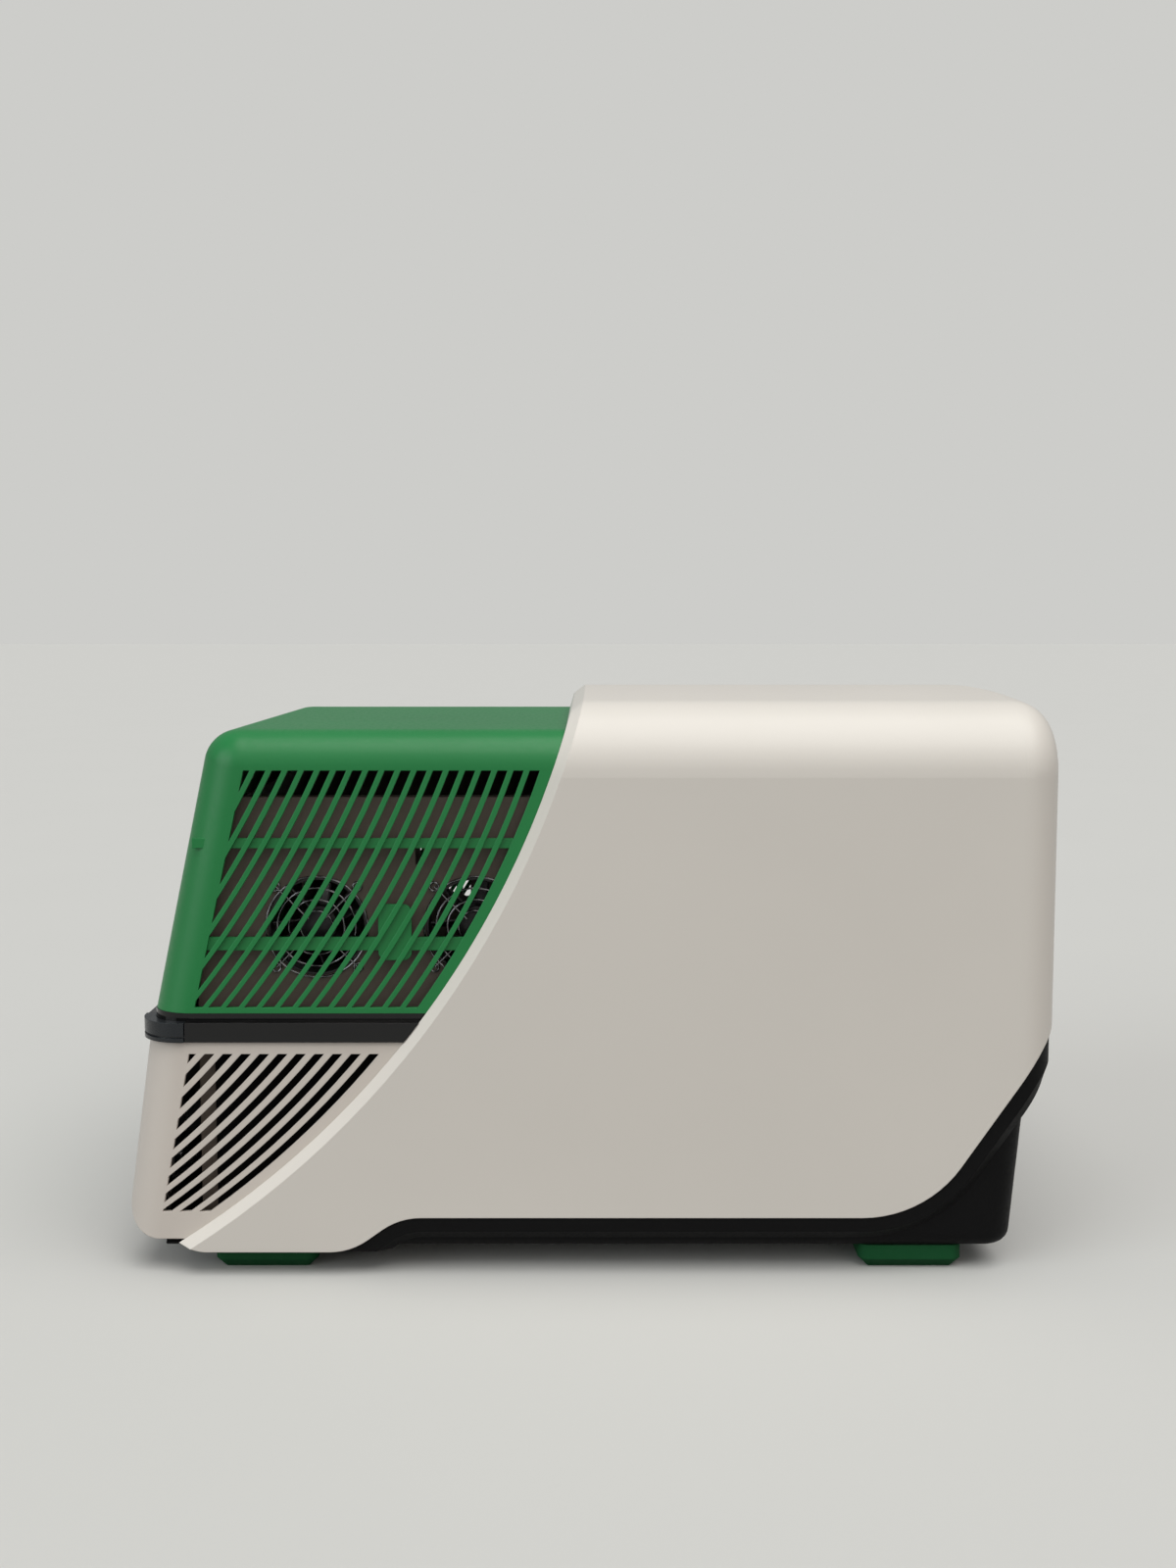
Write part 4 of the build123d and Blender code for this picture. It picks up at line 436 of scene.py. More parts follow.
SOCKET_STEEL = Finish("socket steel", linear(196, 196, 196), 0.22, metallic=1.0, drift=0.04,
                      grain_strength=0.08, soften=0.25, brushed=BrushAxis.Y)
SCREW_STEEL = Finish("screw steel", linear(170, 171, 173), 0.3, metallic=1.0, drift=0.1, wear=0.3,
                     grain_strength=0.15, soften=0.2)
BEZEL_BLACK = Finish("bezel black", linear(16, 16, 17), 0.22, specular=0.55, coat=0.2, drift=0.05, wear=0.3,
                     wear_lift=3.0, grain_strength=0.06, soften=0.5)
SCREEN_GLASS = Finish("screen glass", linear(9, 10, 12), 0.06, specular=0.7, coat=0.8, coat_roughness=0.03,
                      drift=0.2, wear=0.1, grain_strength=0.0, soften=0.3, scratch=0.03, dust=0.03)
LIGHT_CLEAR = Finish("light strip", linear(214, 232, 226), 0.3, drift=0.02, grain_strength=0.05, soften=0.3,
                     coat=0.3, glow=0.15)
BUTTON_GREY = Finish("button grey", linear(150, 152, 153), 0.36, drift=0.03, wear=0.3, soften=0.4,
                     grain_strength=0.12)
DRAWER_BLACK = Finish("drawer black", linear(30, 30, 31), 0.42, drift=0.08, wear=0.3, wear_lift=2.0,
                      grain_pitch=0.9, grain_strength=0.3, soften=0.6, dust=0.05)
TRAY_STEEL = Finish("tray steel", linear(172, 173, 174), 0.32, metallic=1.0, drift=0.05, grain_pitch=0.7,
                    grain_strength=0.2, soften=0.3, brushed=BrushAxis.Y)
SINK_ALUMINIUM = Finish("sink aluminium", linear(184, 186, 188), 0.3, metallic=1.0, drift=0.05,
                        grain_pitch=0.6, grain_strength=0.2, soften=0.2, brushed=BrushAxis.Y)
CERAMIC = Finish("white ceramic", linear(224, 223, 218), 0.5, drift=0.02, wear=0.1, grain_pitch=0.7,
                 grain_strength=0.15, soften=0.2)
BLOCK_ALUMINIUM = Finish("block aluminium", linear(192, 192, 190), 0.28, metallic=1.0, drift=0.04,
                         grain_pitch=0.5, grain_strength=0.12, soften=0.3, brushed=BrushAxis.X)
SURROUND_BLACK = Finish("surround black", linear(24, 24, 25), 0.48, drift=0.08, wear=0.35, wear_lift=2.2,
                        grain_strength=0.25, soften=0.4)
SLIDE_STEEL = Finish("slide steel", linear(160, 161, 163), 0.26, metallic=1.0, drift=0.05, grain_pitch=0.6,
                     grain_strength=0.12, soften=0.3, brushed=BrushAxis.Y)
FRAME_ALUMINIUM = Finish("frame aluminium", linear(172, 174, 177), 0.4, metallic=1.0, drift=0.05,
                         grain_pitch=0.8, grain_strength=0.2, soften=0.3, brushed=BrushAxis.Y)
ROD_STEEL = Finish("rod steel", linear(190, 191, 193), 0.14, metallic=1.0, drift=0.03, grain_pitch=0.4,
                   grain_strength=0.06, soften=0.2)
MOTOR_BLACK = Finish("motor black", linear(28, 28, 29), 0.35, specular=0.55, drift=0.08, wear=0.4,
                     wear_lift=3.0, grain_strength=0.12, soften=0.4)
CARRIAGE_BLACK = Finish("carriage black", linear(30, 30, 32), 0.4, drift=0.06, wear=0.5, wear_lift=3.2,
                        grain_strength=0.15, soften=0.4)
LENS_GLASS = Finish("lens glass", linear(214, 222, 230), 0.03, specular=0.7, coat=0.5, drift=0.0, wear=0.0,
                    grain_strength=0.0, soften=0.2, dust=0.0, transmission=0.8)
BELT_RUBBER = Finish("belt rubber", linear(22, 22, 22), 0.7, specular=0.3, drift=0.08, grain_pitch=0.8,
                     grain_strength=0.3, soften=0.2)

# Painted shade: a near-black finish with a coarse bump, for the sheets put over the side-wall windows where
# the inside of the case lies in shade.
SHADE_SHEET_BLACK = Finish("painted shade sheet", linear(14, 14, 14), 0.95, specular=0.1, drift=0.2, wear=0.0, dust=0.0,
                    grain_pitch=2.2, grain_depth=0.6, grain_strength=0.9, soften=0.8)

MARK_WHITE = Finish("mark white", linear(232, 232, 230), 0.4, drift=0.0, wear=0.3, wear_lift=0.7, dust=0.0,
                    grain_strength=0.05, soften=0.1)

NODE_FINISH: dict[str, Finish] = {
    "white_hood": HOOD_WHITE,
    "base_tray": BASE_BLACK,
    "upper_rear_cover": COVER_GREEN,
    "lower_rear_cover": COVER_WHITE,
    "rear_band": BAND_BLACK,
    "corner_caps": CAP_SLATE,
    "feet": FOOT_GREEN,
    "chassis_pan": ZINC_SHEET,
    "left_wall": WALL_TAUPE,
    "right_wall": WALL_TAUPE,
    "rear_bulkhead": WALL_TAUPE,
    "fan_frames": FAN_BLACK,
    "fan_guards": GUARD_WIRE,
    "rear_fan_rotor": FAN_BLACK,
    "front_fan_rotor": FAN_BLACK,
    "power_supply": ZINC_SHEET,
    "main_board": SOLDER_MASK,
    "board_standoffs": BRASS,
    "io_panel": PANEL_STEEL,
    "power_inlet": INLET_BLACK,
    "switch_frame": INLET_BLACK,
    "switch_rocker": ROCKER_BLACK,
    "network_socket": SOCKET_STEEL,
    "usb_sockets": SOCKET_STEEL,
    "case_screws": SCREW_STEEL,
    "screen_bezel": BEZEL_BLACK,
    "screen_glass": SCREEN_GLASS,
    "display_module": SOLDER_MASK,
    "status_light": LIGHT_CLEAR,
    "power_button": BUTTON_GREY,
    "button_board": SOLDER_MASK,
    "drawer_front": DRAWER_BLACK,
    "drawer_tray": TRAY_STEEL,
    "heat_sink": SINK_ALUMINIUM,
    "peltier_modules": CERAMIC,
    "sample_block": BLOCK_ALUMINIUM,
    "block_surround": SURROUND_BLACK,
    "slide_tongues": SLIDE_STEEL,
    "slide_rails": SLIDE_STEEL,
    "frame_plates": FRAME_ALUMINIUM,
    "lid_bridge": FRAME_ALUMINIUM,
    "lid_posts": ROD_STEEL,
    "lid_motor": MOTOR_BLACK,
    "lid_screw": ROD_STEEL,
    "lid_platen": BLOCK_ALUMINIUM,
    "lid_carrier": FRAME_ALUMINIUM,
    "lid_bushes": BRASS,
    "drawer_motor": MOTOR_BLACK,
    "drawer_motor_block": FRAME_ALUMINIUM,
    "drawer_screw": ROD_STEEL,
    "drawer_nut": BRASS,
    "guide_rods": ROD_STEEL,
    "shuttle_carriage": CARRIAGE_BLACK,
    "shuttle_bushes": BRASS,
    "shuttle_lenses": LENS_GLASS,
    "shuttle_motor": MOTOR_BLACK,
    "drive_pulley": FRAME_ALUMINIUM,
    "idler_bracket": FRAME_ALUMINIUM,
    "idler_pulley": FRAME_ALUMINIUM,
    "shuttle_belt": BELT_RUBBER,
}


@dataclass
class Workshop:
    """Shaping steps that every sub-assembly uses."""

    effects: Effects
    smooth_angle: float = 32.0
    made: list[str] = field(default_factory=list)

    def clear(self) -> None:
        """Leaves edit mode if it is open, and deselects everything."""
        if bpy.context.mode != "OBJECT":
            bpy.ops.object.mode_set(mode="OBJECT")
        bpy.ops.object.select_all(action="DESELECT")

    def hold(self, piece: bpy.types.Object) -> None:
        """Makes one piece the only selected and active one.

        Args:
            piece: the piece to work on.
        """
        self.clear()
        piece.select_set(True)
        bpy.context.view_layer.objects.active = piece

    def settle(self, piece: bpy.types.Object) -> bpy.types.Object:
        """Puts a piece's place, turn and scale into its mesh.

        Args:
            piece: the piece, placed.

        Returns:
            The same piece, its object at the origin.
        """
        self.hold(piece)
        bpy.ops.object.transform_apply(location=True, rotation=True, scale=True)
        return piece

    def apply(self, piece: bpy.types.Object, kind: str, **settings) -> bpy.types.Object:
        """Adds one modifier and applies it.

        Args:
            piece: the piece to shape.
            kind: the modifier's type.
            settings: the modifier's own properties.

        Returns:
            The same piece.
        """
        self.hold(piece)
        modifier = piece.modifiers.new(kind.lower(), kind)
        for name, value in settings.items():
            setattr(modifier, name, value)
        bpy.ops.object.modifier_apply(modifier=modifier.name)
        return piece

    def round_edges(self, piece: bpy.types.Object, width: float, segments: int = 2) -> bpy.types.Object:
        """Rounds a piece's sharp edges by a width in metres."""
        return self.apply(
            piece, "BEVEL", width=width, segments=segments, limit_method="ANGLE", angle_limit=radians(35)
        )

    def box(self, name: str, centre: Vector, size: Vector) -> bpy.types.Object:
        """Adds a block.

        Args:
            name: the new piece's name.
            centre: its middle.
            size: its width, depth and height.

        Returns:
            The block.
        """
        self.clear()
        bpy.ops.mesh.primitive_cube_add(size=1.0, location=centre, scale=size)
        piece = bpy.context.active_object
        piece.name = piece.data.name = name
        return self.settle(piece)

    def drum(
        self, name: str, centre: Vector, radius: float, depth: float, turn: Turn, sides: int = 32
    ) -> bpy.types.Object:
        """Adds a round bar.

        Args:
            name: the new piece's name.
            centre: its middle.
            radius: its radius.
            depth: its length along its own axis, which is Z before the turn.
            turn: its turn about X, Y and Z.
            sides: how many sides its circle has.

        Returns:
            The bar.
        """
        self.clear()
        bpy.ops.mesh.primitive_cylinder_add(
            vertices=sides, radius=radius, depth=depth, location=centre, rotation=turn
        )
        piece = bpy.context.active_object
        piece.name = piece.data.name = name
        return self.settle(piece)

    def hoop(
        self, name: str, centre: Vector, radius: float, wire: float, turn: Turn, sides: int = 48
    ) -> bpy.types.Object:
        """Adds a ring of round wire.

        Args:
            name: the new piece's name.
            centre: its middle.
            radius: radius of the wire's middle line.
            wire: the wire's own radius.
            turn: its turn about X, Y and Z, from lying flat.
            sides: how many sides its circle has.

        Returns:
            The ring.
        """
        self.clear()
        bpy.ops.mesh.primitive_torus_add(
            major_radius=radius,
            minor_radius=wire,
            major_segments=sides,
            minor_segments=8,
            location=centre,
            rotation=turn,
        )
        piece = bpy.context.active_object
        piece.name = piece.data.name = name
        return self.settle(piece)

    def join(self, name: str, pieces: list[bpy.types.Object]) -> bpy.types.Object:
        """Joins pieces into one.

        Args:
            name: the whole piece's name.
            pieces: what it is made of.

        Returns:
            The whole piece.
        """
        self.hold(pieces[0])
        for piece in pieces[1:]:
            piece.select_set(True)
        bpy.ops.object.join()
        whole = bpy.context.active_object
        whole.name = whole.data.name = name
        return self.settle(whole)

    def cut(self, piece: bpy.types.Object, tool: bpy.types.Object) -> bpy.types.Object:
        """Takes a tool's form out of a piece and deletes the tool.

        Args:
            piece: what is cut.
            tool: the form that is taken out.

        Returns:
            The cut piece.
        """
        self.apply(piece, "BOOLEAN", object=tool, operation="DIFFERENCE", solver="EXACT")
        bpy.data.objects.remove(tool)
        return piece

    def finish(
        self,
        piece: bpy.types.Object,
        finish: Finish,
        body: str,
        slot: str,
        stands_for: Iterable[str] = (),
    ) -> bpy.types.Object:
        """Smooths a piece, gives it its finish and puts it on its body.

        Args:
            piece: the finished mesh.
            finish: what its surface is.
            body: the moving body that carries it.
            slot: the record's material slot; not used.
            stands_for: nodes that it stands for.

        Returns:
            The same piece.
        """
        self.hold(piece)
        bpy.ops.object.shade_smooth_by_angle(angle=radians(self.smooth_angle))
        piece.data.materials.clear()
        piece.data.materials.append(finish.build(self.effects))
        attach(piece, body)
        if stands_for:
            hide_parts(*stands_for)
        self.made.append(piece.name)
        log.info("made %s on %s", piece.name, body)
        return piece


class CadDress:
    """Gives every carried node its finish."""

    def __init__(self, shop: Workshop) -> None:
        """Keeps the workshop."""
        self.shop = shop

    def dress(self) -> None:
        """Assigns a finish to each node's material slot."""
        for name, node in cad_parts.items():
            material = NODE_FINISH[name].build(self.shop.effects)
            node.data.materials.clear()
            node.data.materials.append(material)
            log.info("dressed %s", name)


@dataclass
class SideFans:
    """Wire guards and rotors behind the left vent, in metres."""

    shop: Workshop
    hub_radius: float = 12.0 * MM
    hub_depth: float = 12.0 * MM
    hub_gap: float = 0.5 * MM
    hub_round: float = 1.2 * MM
    shaft_radius: float = 1.85 * MM
    blade_reach: float = 27.2 * MM
    blade_root: float = 1.0 * MM
    blade_count: int = 7
    blade_chord: float = 15.0 * MM
    blade_thickness: float = 1.2 * MM
    blade_twist: float = -14.0
    blade_pitch: float = 38.0
    wire: float = 0.65 * MM
    ring_pitch: float = 7.0 * MM
    ring_count: int = 4
    leg_count: int = 4
    leg_start: float = 7.0 * MM
    leg_reach: float = 35.0 * MM
    eye_radius: float = 2.6 * MM
    turn: Turn = (0.0, pi / 2, 0.0)

    def guards(self) -> None:
        """Builds both round wire guards with their legs."""
        low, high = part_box("fan_guards")
        plane_x = (low.x + high.x) / 2
        parts = []
        for node in ("rear_fan_rotor", "front_fan_rotor"):
            centre = self._centre(node)
            centre.x = plane_x
            for ring in range(self.ring_count):
                radius = (high.z - low.z) / 2 - self.wire - ring * self.ring_pitch
                parts.append(self.shop.hoop("ring", centre, radius, self.wire, self.turn))
            for quarter in range(self.leg_count):
                angle = pi / 4 + quarter * 2 * pi / self.leg_count
                reach = Vector((0, cos(angle), sin(angle)))
                middle = centre + reach * (self.leg_reach + self.leg_start) / 2
                length = self.leg_reach - self.leg_start
                parts.append(self.shop.drum("leg", middle, self.wire, length, (angle + pi / 2, 0, 0), 10))
                end = centre + reach * self.leg_reach
                parts.append(self.shop.hoop("eye", end, self.eye_radius, self.wire, self.turn, 20))
        guard = self.shop.join("fan_wire_guards", parts)
        self.shop.finish(guard, GUARD_WIRE, "chassis", "guard_chrome", ("fan_guards",))

    def _centre(self, node: str) -> Vector:
        """Middle of a rotor's axis."""
        low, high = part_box(node)
        return (low + high) / 2

    def rotors(self) -> None:
        """Builds each rotor: a rounded hub, its shaft and pitched, twisted blades."""
        for node in ("rear_fan_rotor", "front_fan_rotor"):
            low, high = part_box(node)
            centre = self._centre(node)
            middle = Vector((low.x + self.hub_depth / 2 + self.hub_gap, centre.y, centre.z))
            hub = self.shop.drum("hub", middle, self.hub_radius, self.hub_depth, self.turn, 40)
            self.shop.round_edges(hub, self.hub_round, 3)
            length = high.x - middle.x
            place = middle + Vector((length / 2, 0, 0))
            shaft = self.shop.drum("shaft", place, self.shaft_radius, length, self.turn, 20)
            parts = [hub, shaft]
            for number in range(self.blade_count):
                parts.append(self._blade(middle, number * 2 * pi / self.blade_count))
            rotor = self.shop.join(f"{node}_wheel", parts)
            self.shop.finish(rotor, FAN_BLACK, node, "fan_black", (node,))

    def _blade(self, middle: Vector, angle: float) -> bpy.types.Object:
        """Models one blade, twisted and pitched.

        Args:
            middle: the hub's middle.
            angle: where the blade stands round the hub.

        Returns:
            The blade.
        """
        span = self.blade_reach - self.hub_radius + self.blade_root
        self.shop.clear()
        bpy.ops.mesh.primitive_grid_add(x_subdivisions=8, y_subdivisions=5, size=1.0)
        blade = bpy.context.active_object
        blade.scale = (span, self.blade_chord, 1.0)
        self.shop.settle(blade)
        blade.location = (self.hub_radius - self.blade_root + span / 2, 0, 0)
        self.shop.settle(blade)
        twist = radians(self.blade_twist)
        self.shop.apply(blade, "SIMPLE_DEFORM", deform_method="TWIST", deform_axis="X", angle=twist)
        self.shop.apply(blade, "SOLIDIFY", thickness=self.blade_thickness, offset=0.0)
        self.shop.hold(blade)
        blade.rotation_euler = (radians(self.blade_pitch), 0, 0)
        self.shop.settle(blade)
        blade.matrix_world = (
            Matrix.Translation(middle)
            @ Matrix.Rotation(angle, 4, "X")
            @ Matrix.Rotation(pi / 2, 4, "Z")
        )
        return self.shop.settle(blade)


@dataclass
class ShadeSheets:
    """Near-black sheets over the windows of the side walls, in metres: painted shade for the dark inside of
    the case seen through the fans.
    """

    shop: Workshop
    thickness: float = 3.0 * MM
    margin: float = 4.0 * MM
    wall_gap: float = 0.05 * MM
    edge_round: float = 0.8 * MM
    low: Vector = field(default_factory=lambda: Vector((0, 60.5, 36.0)) * MM)
    high: Vector = field(default_factory=lambda: Vector((0, 223.5, 140.0)) * MM)

    def build(self) -> None:
        """Adds one near-black sheet of painted shade on the outer face of each wall."""
        middle = (self.low + self.high) / 2
        size = self.high - self.low + Vector((0, 2, 2)) * self.margin
        size.x = self.thickness
        for wall, side in (("left_wall", -1), ("right_wall", 1)):
            low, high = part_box(wall)
            face = low.x if side < 0 else high.x
            away = self.thickness / 2 + self.wall_gap
            place = Vector((face + side * away, middle.y, middle.z))
            # Painted shade: a near-black sheet over the window, where the inside of the case lies in shade.
            shade_piece = self.shop.box(f"painted_shade_sheet_{wall}", place, size)
            self.shop.round_edges(shade_piece, self.edge_round)
            self.shop.finish(shade_piece, SHADE_SHEET_BLACK, "chassis", "fan_black")


def flat_faces(node: str, direction: Vector, reach: float) -> list[tuple[Vector, Vector]]:
    """Flat faces of a CAD node that look along a direction.

    Args:
        node: the node's name.
        direction: where the faces look, to within about 35 degrees.
        reach: triangles in one plane and nearer than this belong to one face, in metres.

    Returns:
        The centre and the normal of each face.
    """
    patches = []
    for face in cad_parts[node].data.polygons:
        if face.normal.dot(direction) < FACING:
            continue
        for patch in patches:
            step = face.center - patch["sum"] / patch["area"]
            level = abs(step.dot(patch["normal"])) < LEVEL
            if level and step.length < reach and patch["normal"].dot(face.normal) > PARALLEL:
                patch["sum"] += face.center * face.area
                patch["area"] += face.area
                break
        else:
            start = {"sum": face.center * face.area, "area": face.area, "normal": face.normal.copy()}
            patches.append(start)
    return [(patch["sum"] / patch["area"], patch["normal"]) for patch in patches]


@dataclass
class SmallParts:
    """Screw heads, inlet blades, socket contacts and the raised marks.

    Single lengths are in metres, and the tuples are in millimetres.
    """

    shop: Workshop
    panel_cap: float = 3.3 * MM
    base_cap: float = 3.9 * MM
    head_reach: float = 9.0 * MM
    cap_rise: float = 0.9 * MM
    cap_sink: float = 0.05 * MM
    cap_dome: float = 0.4
    recess_reach: float = 0.6
    recess_width: float = 0.8 * MM
    recess_depth: float = 0.6 * MM
    blade_size: tuple[float, float, float] = (2.0, 13.2, 4.0)
    blade_skin: float = 0.1 * MM
    blade_tip: float = 1.9 * MM
    blade_round: float = 0.35 * MM
    blade_places: tuple[tuple[float, float], ...] = ((-7.0, -0.2), (0.0, 4.0), (7.0, -0.2))
    contact_count: int = 8
    contact_pitch: float = 1.02 * MM
    contact_size: tuple[float, float, float] = (0.45, 9.0, 0.5)
    contact_depth: float = 7.5 * MM
    contact_drop: float = 2.2 * MM
    contact_round: float = 0.12 * MM
    mark_rise: float = 0.2 * MM
    mark_flatness: float = 0.4
    paddle_reach: float = 20.0 * MM
    on_bar: tuple[float, float] = (0.8, 3.2)
    off_ring: tuple[float, float] = (1.4, 0.32)
    power_bar: tuple[float, float] = (0.7, 2.8)
    power_bar_rise: float = 2.0
    power_ring: tuple[float, float] = (2.6, 0.35)
    power_gap: tuple[float, float, float] = (2.0, 2.4, 2.0)

    def place(self, model: bpy.types.Object, centre: Vector, normal: Vector) -> bpy.types.Object:
        """Copies a model that was made lying flat at the origin onto a face.

        Args:
            model: the model, its outer side facing up.
            centre: the face's centre.
            normal: the face's normal.

        Returns:
            The copy, with its own mesh.
        """
        copy = model.copy()
        copy.data = model.data.copy()
        bpy.context.scene.collection.objects.link(copy)
        turn = normal.to_track_quat("Z", "Y").to_matrix().to_4x4()
        copy.matrix_world = Matrix.Translation(centre) @ turn
        return self.shop.settle(copy)

    def screw_cap(self, radius: float) -> bpy.types.Object:
        """Models one low domed screw head with a cross recess, facing up.

        Args:
            radius: the head's radius.

        Returns:
            The head.
        """
        middle = Vector((0, 0, self.cap_rise / 2 - self.cap_sink))
        cap = self.shop.drum("screw_cap", middle, radius, self.cap_rise, LYING_FLAT, 28)
        self.shop.round_edges(cap, self.cap_rise * self.cap_dome, 3)
        top = Vector((0, 0, self.cap_rise))
        length = 2 * self.recess_reach * radius
        for width, depth in ((length, self.recess_width), (self.recess_width, length)):
            size = Vector((width, depth, 2 * self.recess_depth))
            self.shop.cut(cap, self.shop.box("recess", top, size))
        return cap

    def screws(self) -> None:
        """Puts a domed head with a cross recess on each case screw."""
        parts = []
        kinds = ((Vector((0, 1, 0)), self.panel_cap), (Vector((0, 0, -1)), self.base_cap))
        for direction, radius in kinds:
            model = self.screw_cap(radius)
            for centre, normal in flat_faces("case_screws", direction, self.head_reach):
                parts.append(self.place(model, centre, normal))
            bpy.data.objects.remove(model)
        heads = self.shop.join("screw_heads", parts)
        self.shop.finish(heads, SCREW_STEEL, "chassis", "screw_steel")

    def inlet_blades(self) -> None:
        """Sheathes the mains inlet's three pins in bright metal."""
        low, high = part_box("power_inlet")
        centre = (low + high) / 2
        size = Vector(self.blade_size) * MM + Vector((1, 0, 1)) * self.blade_skin
        depth = high.y - self.blade_tip - size.y / 2
        parts = []
        for across, up in self.blade_places:
            place = Vector((centre.x + across * MM, depth, centre.z + up * MM))
            blade = self.shop.box("blade", place, size)
            parts.append(self.shop.round_edges(blade, self.blade_round))
        blades = self.shop.join("inlet_blades", parts)
        self.shop.finish(blades, SOCKET_STEEL, "chassis", "socket_steel")

    def socket_contacts(self) -> None:
        """Adds the spring contacts under the network socket's roof."""
        low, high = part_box("network_socket")
        middle = (low.x + high.x) / 2
        parts = []
        for number in range(self.contact_count):
            across = (number - (self.contact_count - 1) / 2) * self.contact_pitch
            place = Vector((middle + across, high.y - self.contact_depth, high.z - self.contact_drop))
            wire = self.shop.box("contact", place, Vector(self.contact_size) * MM)
            parts.append(self.shop.round_edges(wire, self.contact_round))
        contacts = self.shop.join("network_contacts", parts)
        self.shop.finish(contacts, BRASS, "chassis", "brass")

    def mark_bar(self, size: tuple[float, float], rise: float) -> bpy.types.Object:
        """Models a raised bar, facing up.

        Args:
            size: its width and length in millimetres.
            rise: how far its middle lies up from the face's centre, in millimetres.

        Returns:
            The bar.
        """
        width, length = size
        whole = Vector((width * MM, length * MM, self.mark_rise))
        return self.shop.box("bar", Vector((0, rise * MM, 0)), whole)

    def mark_ring(self, size: tuple[float, float], sides: int) -> bpy.types.Object:
        """Models a raised flat ring, facing up.

        Args:
            size: its radius and the radius of its line, in millimetres.
            sides: how many sides its circle has.

        Returns:
            The ring.
        """
        radius, line = size
        ring = self.shop.hoop("ring", Vector((0, 0, 0)), radius * MM, line * MM, LYING_FLAT, sides)
        ring.scale = (1, 1, self.mark_flatness)
        return self.shop.settle(ring)

    def rocker_marks(self) -> None:
        """Raises a bar on the rocker's upper paddle and a ring on its lower one."""
        paddles = flat_faces("switch_rocker", Vector((0, 1, 0)), self.paddle_reach)
        paddles.sort(key=lambda face: face[0].z)
        bar = self.mark_bar(self.on_bar, 0.0)
        ring = self.mark_ring(self.off_ring, 32)
        marks = [self.place(ring, *paddles[0]), self.place(bar, *paddles[-1])]
        for model in (bar, ring):
            bpy.data.objects.remove(model)
        joined = self.shop.join("rocker_marks", marks)
        self.shop.finish(joined, MARK_WHITE, "switch_rocker", "hood_white")

    def button_mark(self) -> None:
        """Raises the usual open ring and bar on the power button."""
        faces = flat_faces("power_button", Vector((0, -1, 0)), self.paddle_reach)
        centre, normal = min(faces, key=lambda face: face[0].y)
        ring = self.mark_ring(self.power_ring, 40)
        top = Vector((0, self.power_ring[0], 0)) * MM
        self.shop.cut(ring, self.shop.box("gap", top, Vector(self.power_gap) * MM))
        bar = self.mark_bar(self.power_bar, self.power_bar_rise)
        mark = self.shop.join("button_mark_model", [ring, bar])
        placed = self.place(mark, centre, normal)
        placed.name = placed.data.name = "button_mark"
        bpy.data.objects.remove(mark)
        self.shop.finish(placed, BASE_BLACK, "power_button", "base_black")

    def build(self) -> None:
        """Adds every small part."""
        self.screws()
        self.inlet_blades()
        self.socket_contacts()
        self.rocker_marks()
        self.button_mark()


@dataclass(frozen=True)
class Lamp:
    """One broad, even lamp: where it shines, its spread in degrees, its strength and its colour."""

    name: str
    direction: tuple[float, float, float]
    spread: float
    strength: float
    colour: Colour

    def hang(self) -> None:
        """Adds the lamp to the scene."""
        data = bpy.data.lights.new(self.name, "SUN")
        data.angle = radians(self.spread)
        data.energy = self.strength
        data.color = self.colour
        lamp = bpy.data.objects.new(self.name, data)
        bpy.context.scene.collection.objects.link(lamp)
        lamp.rotation_euler = Vector(self.direction).to_track_quat("-Z", "Y").to_euler()


LAMPS = (
    Lamp("ceiling", (0.3, 0.2, -1.0), 60.0, 1.95, (1.0, 0.985, 0.96)),
    Lamp("front", (1.0, 0.35, -0.55), 60.0, 0.45, (1.0, 0.93, 0.86)),
    Lamp("rear", (0.7, -1.0, -0.45), 45.0, 0.95, (0.92, 0.98, 1.0)),
)


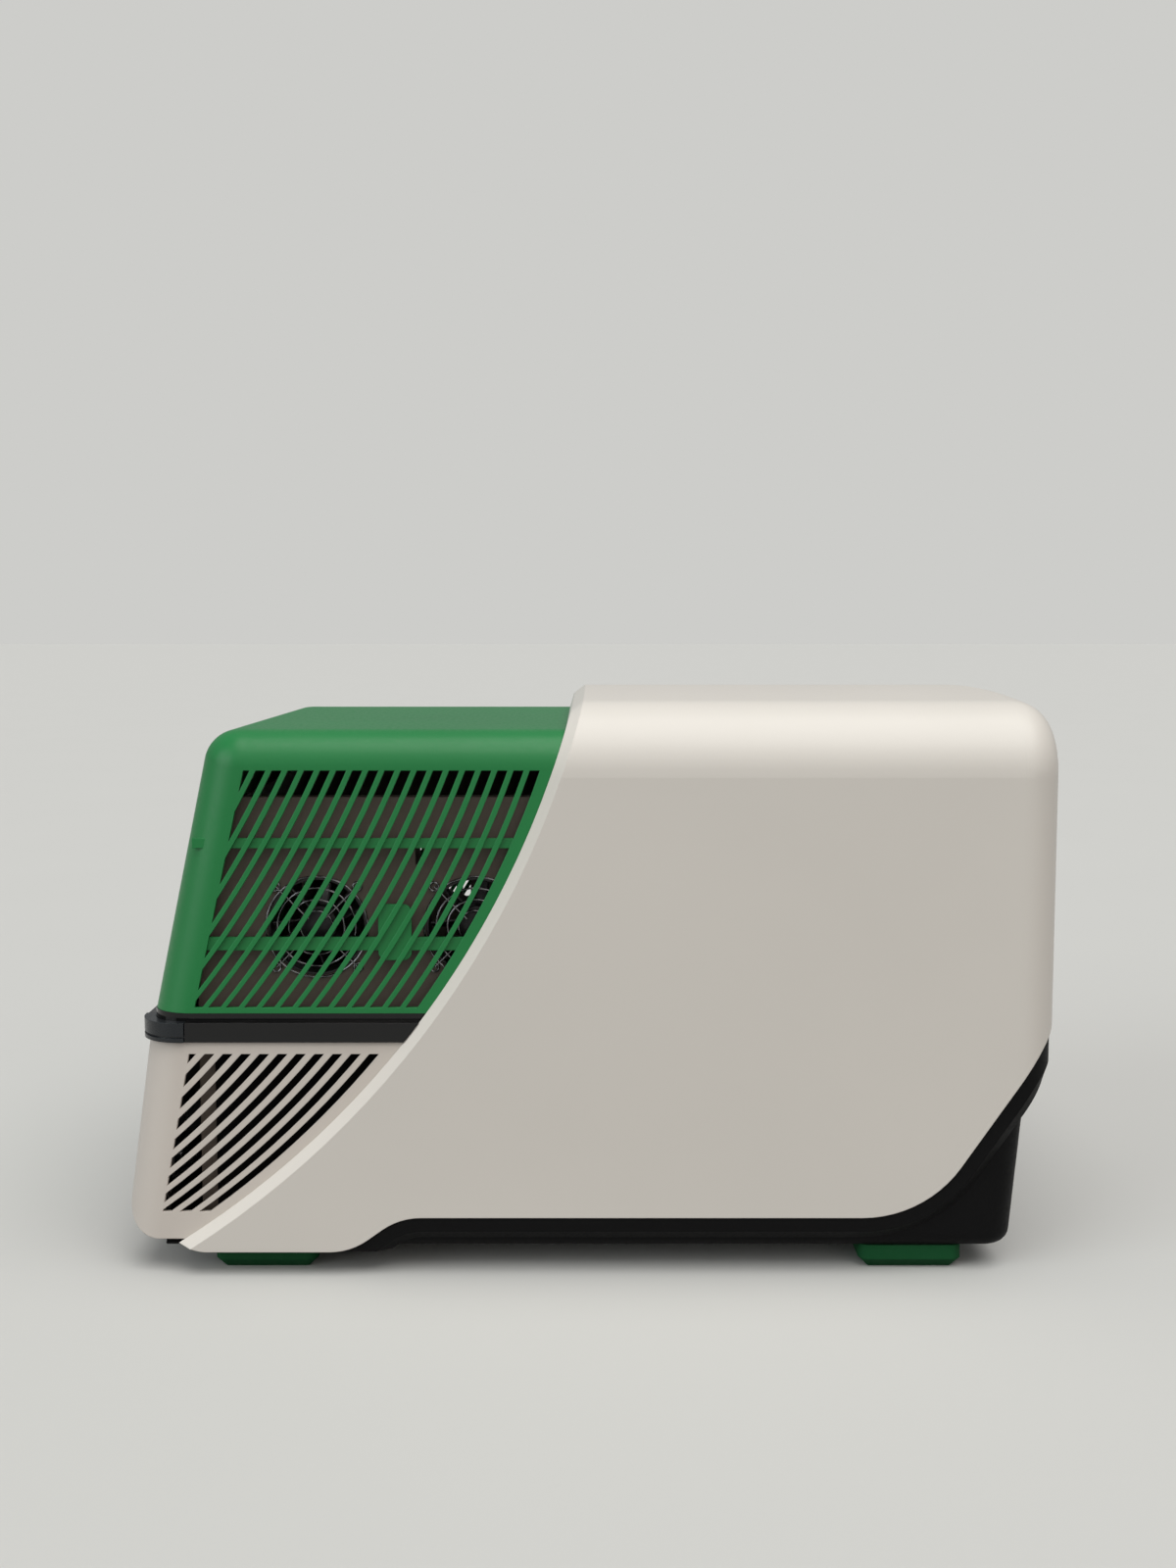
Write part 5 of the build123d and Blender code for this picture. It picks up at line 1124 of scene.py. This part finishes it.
@dataclass
class Stage:
    """Floor, backdrop, lamps and the camera at the photograph's angle."""

    image: tuple[int, int] = (1200, 1600)
    focal_pixels: float = 1739.0
    eye: tuple[float, float, float] = (-1.168, 0.0002, 0.396)
    pitch: float = 5.43
    sensor: float = 36.0
    sight: float = 100.0
    floor_size: float = 60.0
    floor_mottle: float = 1.02
    back_colour: Colour = linear(205, 205, 202)
    sky_colour: Colour = linear(236, 238, 240)
    sky_strength: float = 0.34
    floor_colour: Colour = linear(206, 206, 203)
    bounce_colour: Colour = linear(92, 86, 82)

    def surface(self, name: str, colour: Colour) -> bpy.types.Material:
        """Makes a matt, faintly mottled floor that shows pale and sends less light back up.

        Args:
            name: the material's name.
            colour: what the camera sees.

        Returns:
            The material.
        """
        material = bpy.data.materials.new(name)
        material.use_nodes = True
        graph = Graph(material.node_tree)
        place = graph.add("ShaderNodeTexCoord").outputs["Object"]
        cloud = graph.add("ShaderNodeTexNoise", {"Vector": place, "Scale": 3.0, "Detail": 5.0})
        lighter = tuple(level * self.floor_mottle for level in colour)
        tone = graph.blend(cloud.outputs[0], colour, lighter)
        path = graph.add("ShaderNodeLightPath")
        shown = graph.maths("MAXIMUM", path.outputs["Is Camera Ray"], path.outputs["Is Glossy Ray"])
        shown = graph.maths("MAXIMUM", shown, path.outputs["Is Transmission Ray"])
        tone = graph.blend(shown, self.bounce_colour, tone)
        shader = material.node_tree.nodes["Principled BSDF"]
        material.node_tree.links.new(tone, shader.inputs["Base Color"])
        shader.inputs["Roughness"].default_value = 0.8
        shader.inputs["Specular IOR Level"].default_value = 0.1
        return material

    def room(self) -> None:
        """Adds a plain pale floor."""
        bpy.ops.object.select_all(action="DESELECT")
        bpy.ops.mesh.primitive_plane_add(size=self.floor_size, location=(0, 0, 0))
        floor = bpy.context.active_object
        floor.name = "floor"
        floor.data.materials.append(self.surface("floor paint", self.floor_colour))

    def world(self) -> None:
        """Soft pale surroundings, with a plain pale one behind for the camera."""
        world = bpy.data.worlds.new("studio")
        bpy.context.scene.world = world
        world.use_nodes = True
        graph = Graph(world.node_tree)
        back = world.node_tree.nodes["Background"]
        back.inputs["Color"].default_value = (*self.sky_colour, 1.0)
        back.inputs["Strength"].default_value = self.sky_strength
        seen = graph.add("ShaderNodeBackground", {"Color": (*self.back_colour, 1.0), "Strength": 1.0})
        path = graph.add("ShaderNodeLightPath")
        mix = graph.add("ShaderNodeMixShader", {0: path.outputs["Is Camera Ray"]})
        link = world.node_tree.links.new
        link(back.outputs[0], mix.inputs[1])
        link(seen.outputs[0], mix.inputs[2])
        link(mix.outputs[0], world.node_tree.nodes["World Output"].inputs[0])

    def camera(self) -> None:
        """Places the camera where the photograph was taken from."""
        data = bpy.data.cameras.new("camera")
        data.sensor_width = self.sensor
        data.lens = self.focal_pixels / max(self.image) * data.sensor_width
        data.clip_end = self.sight
        camera = bpy.data.objects.new("camera", data)
        bpy.context.scene.collection.objects.link(camera)
        camera.location = self.eye
        ahead = Vector((cos(radians(self.pitch)), 0, -sin(radians(self.pitch))))
        camera.rotation_euler = ahead.to_track_quat("-Z", "Y").to_euler()
        bpy.context.scene.camera = camera

    def build(self) -> None:
        """Sets up everything round the object."""
        self.camera()
        self.world()
        self.room()
        for lamp in LAMPS:
            lamp.hang()
        bpy.context.scene.view_settings.view_transform = "Standard"


def main() -> None:
    """Builds the scene in order and reports each piece."""
    logging.basicConfig(level=logging.INFO, format="%(message)s")
    Stage().build()
    shop = Workshop(Effects())
    CadDress(shop).dress()
    fans = SideFans(shop)
    fans.guards()
    fans.rotors()
    # Adds near-black sheets of painted shade over the side-wall windows.
    ShadeSheets(shop).build()
    SmallParts(shop).build()
    log.info("%d pieces made", len(shop.made))


if __name__ == "__main__":
    main()
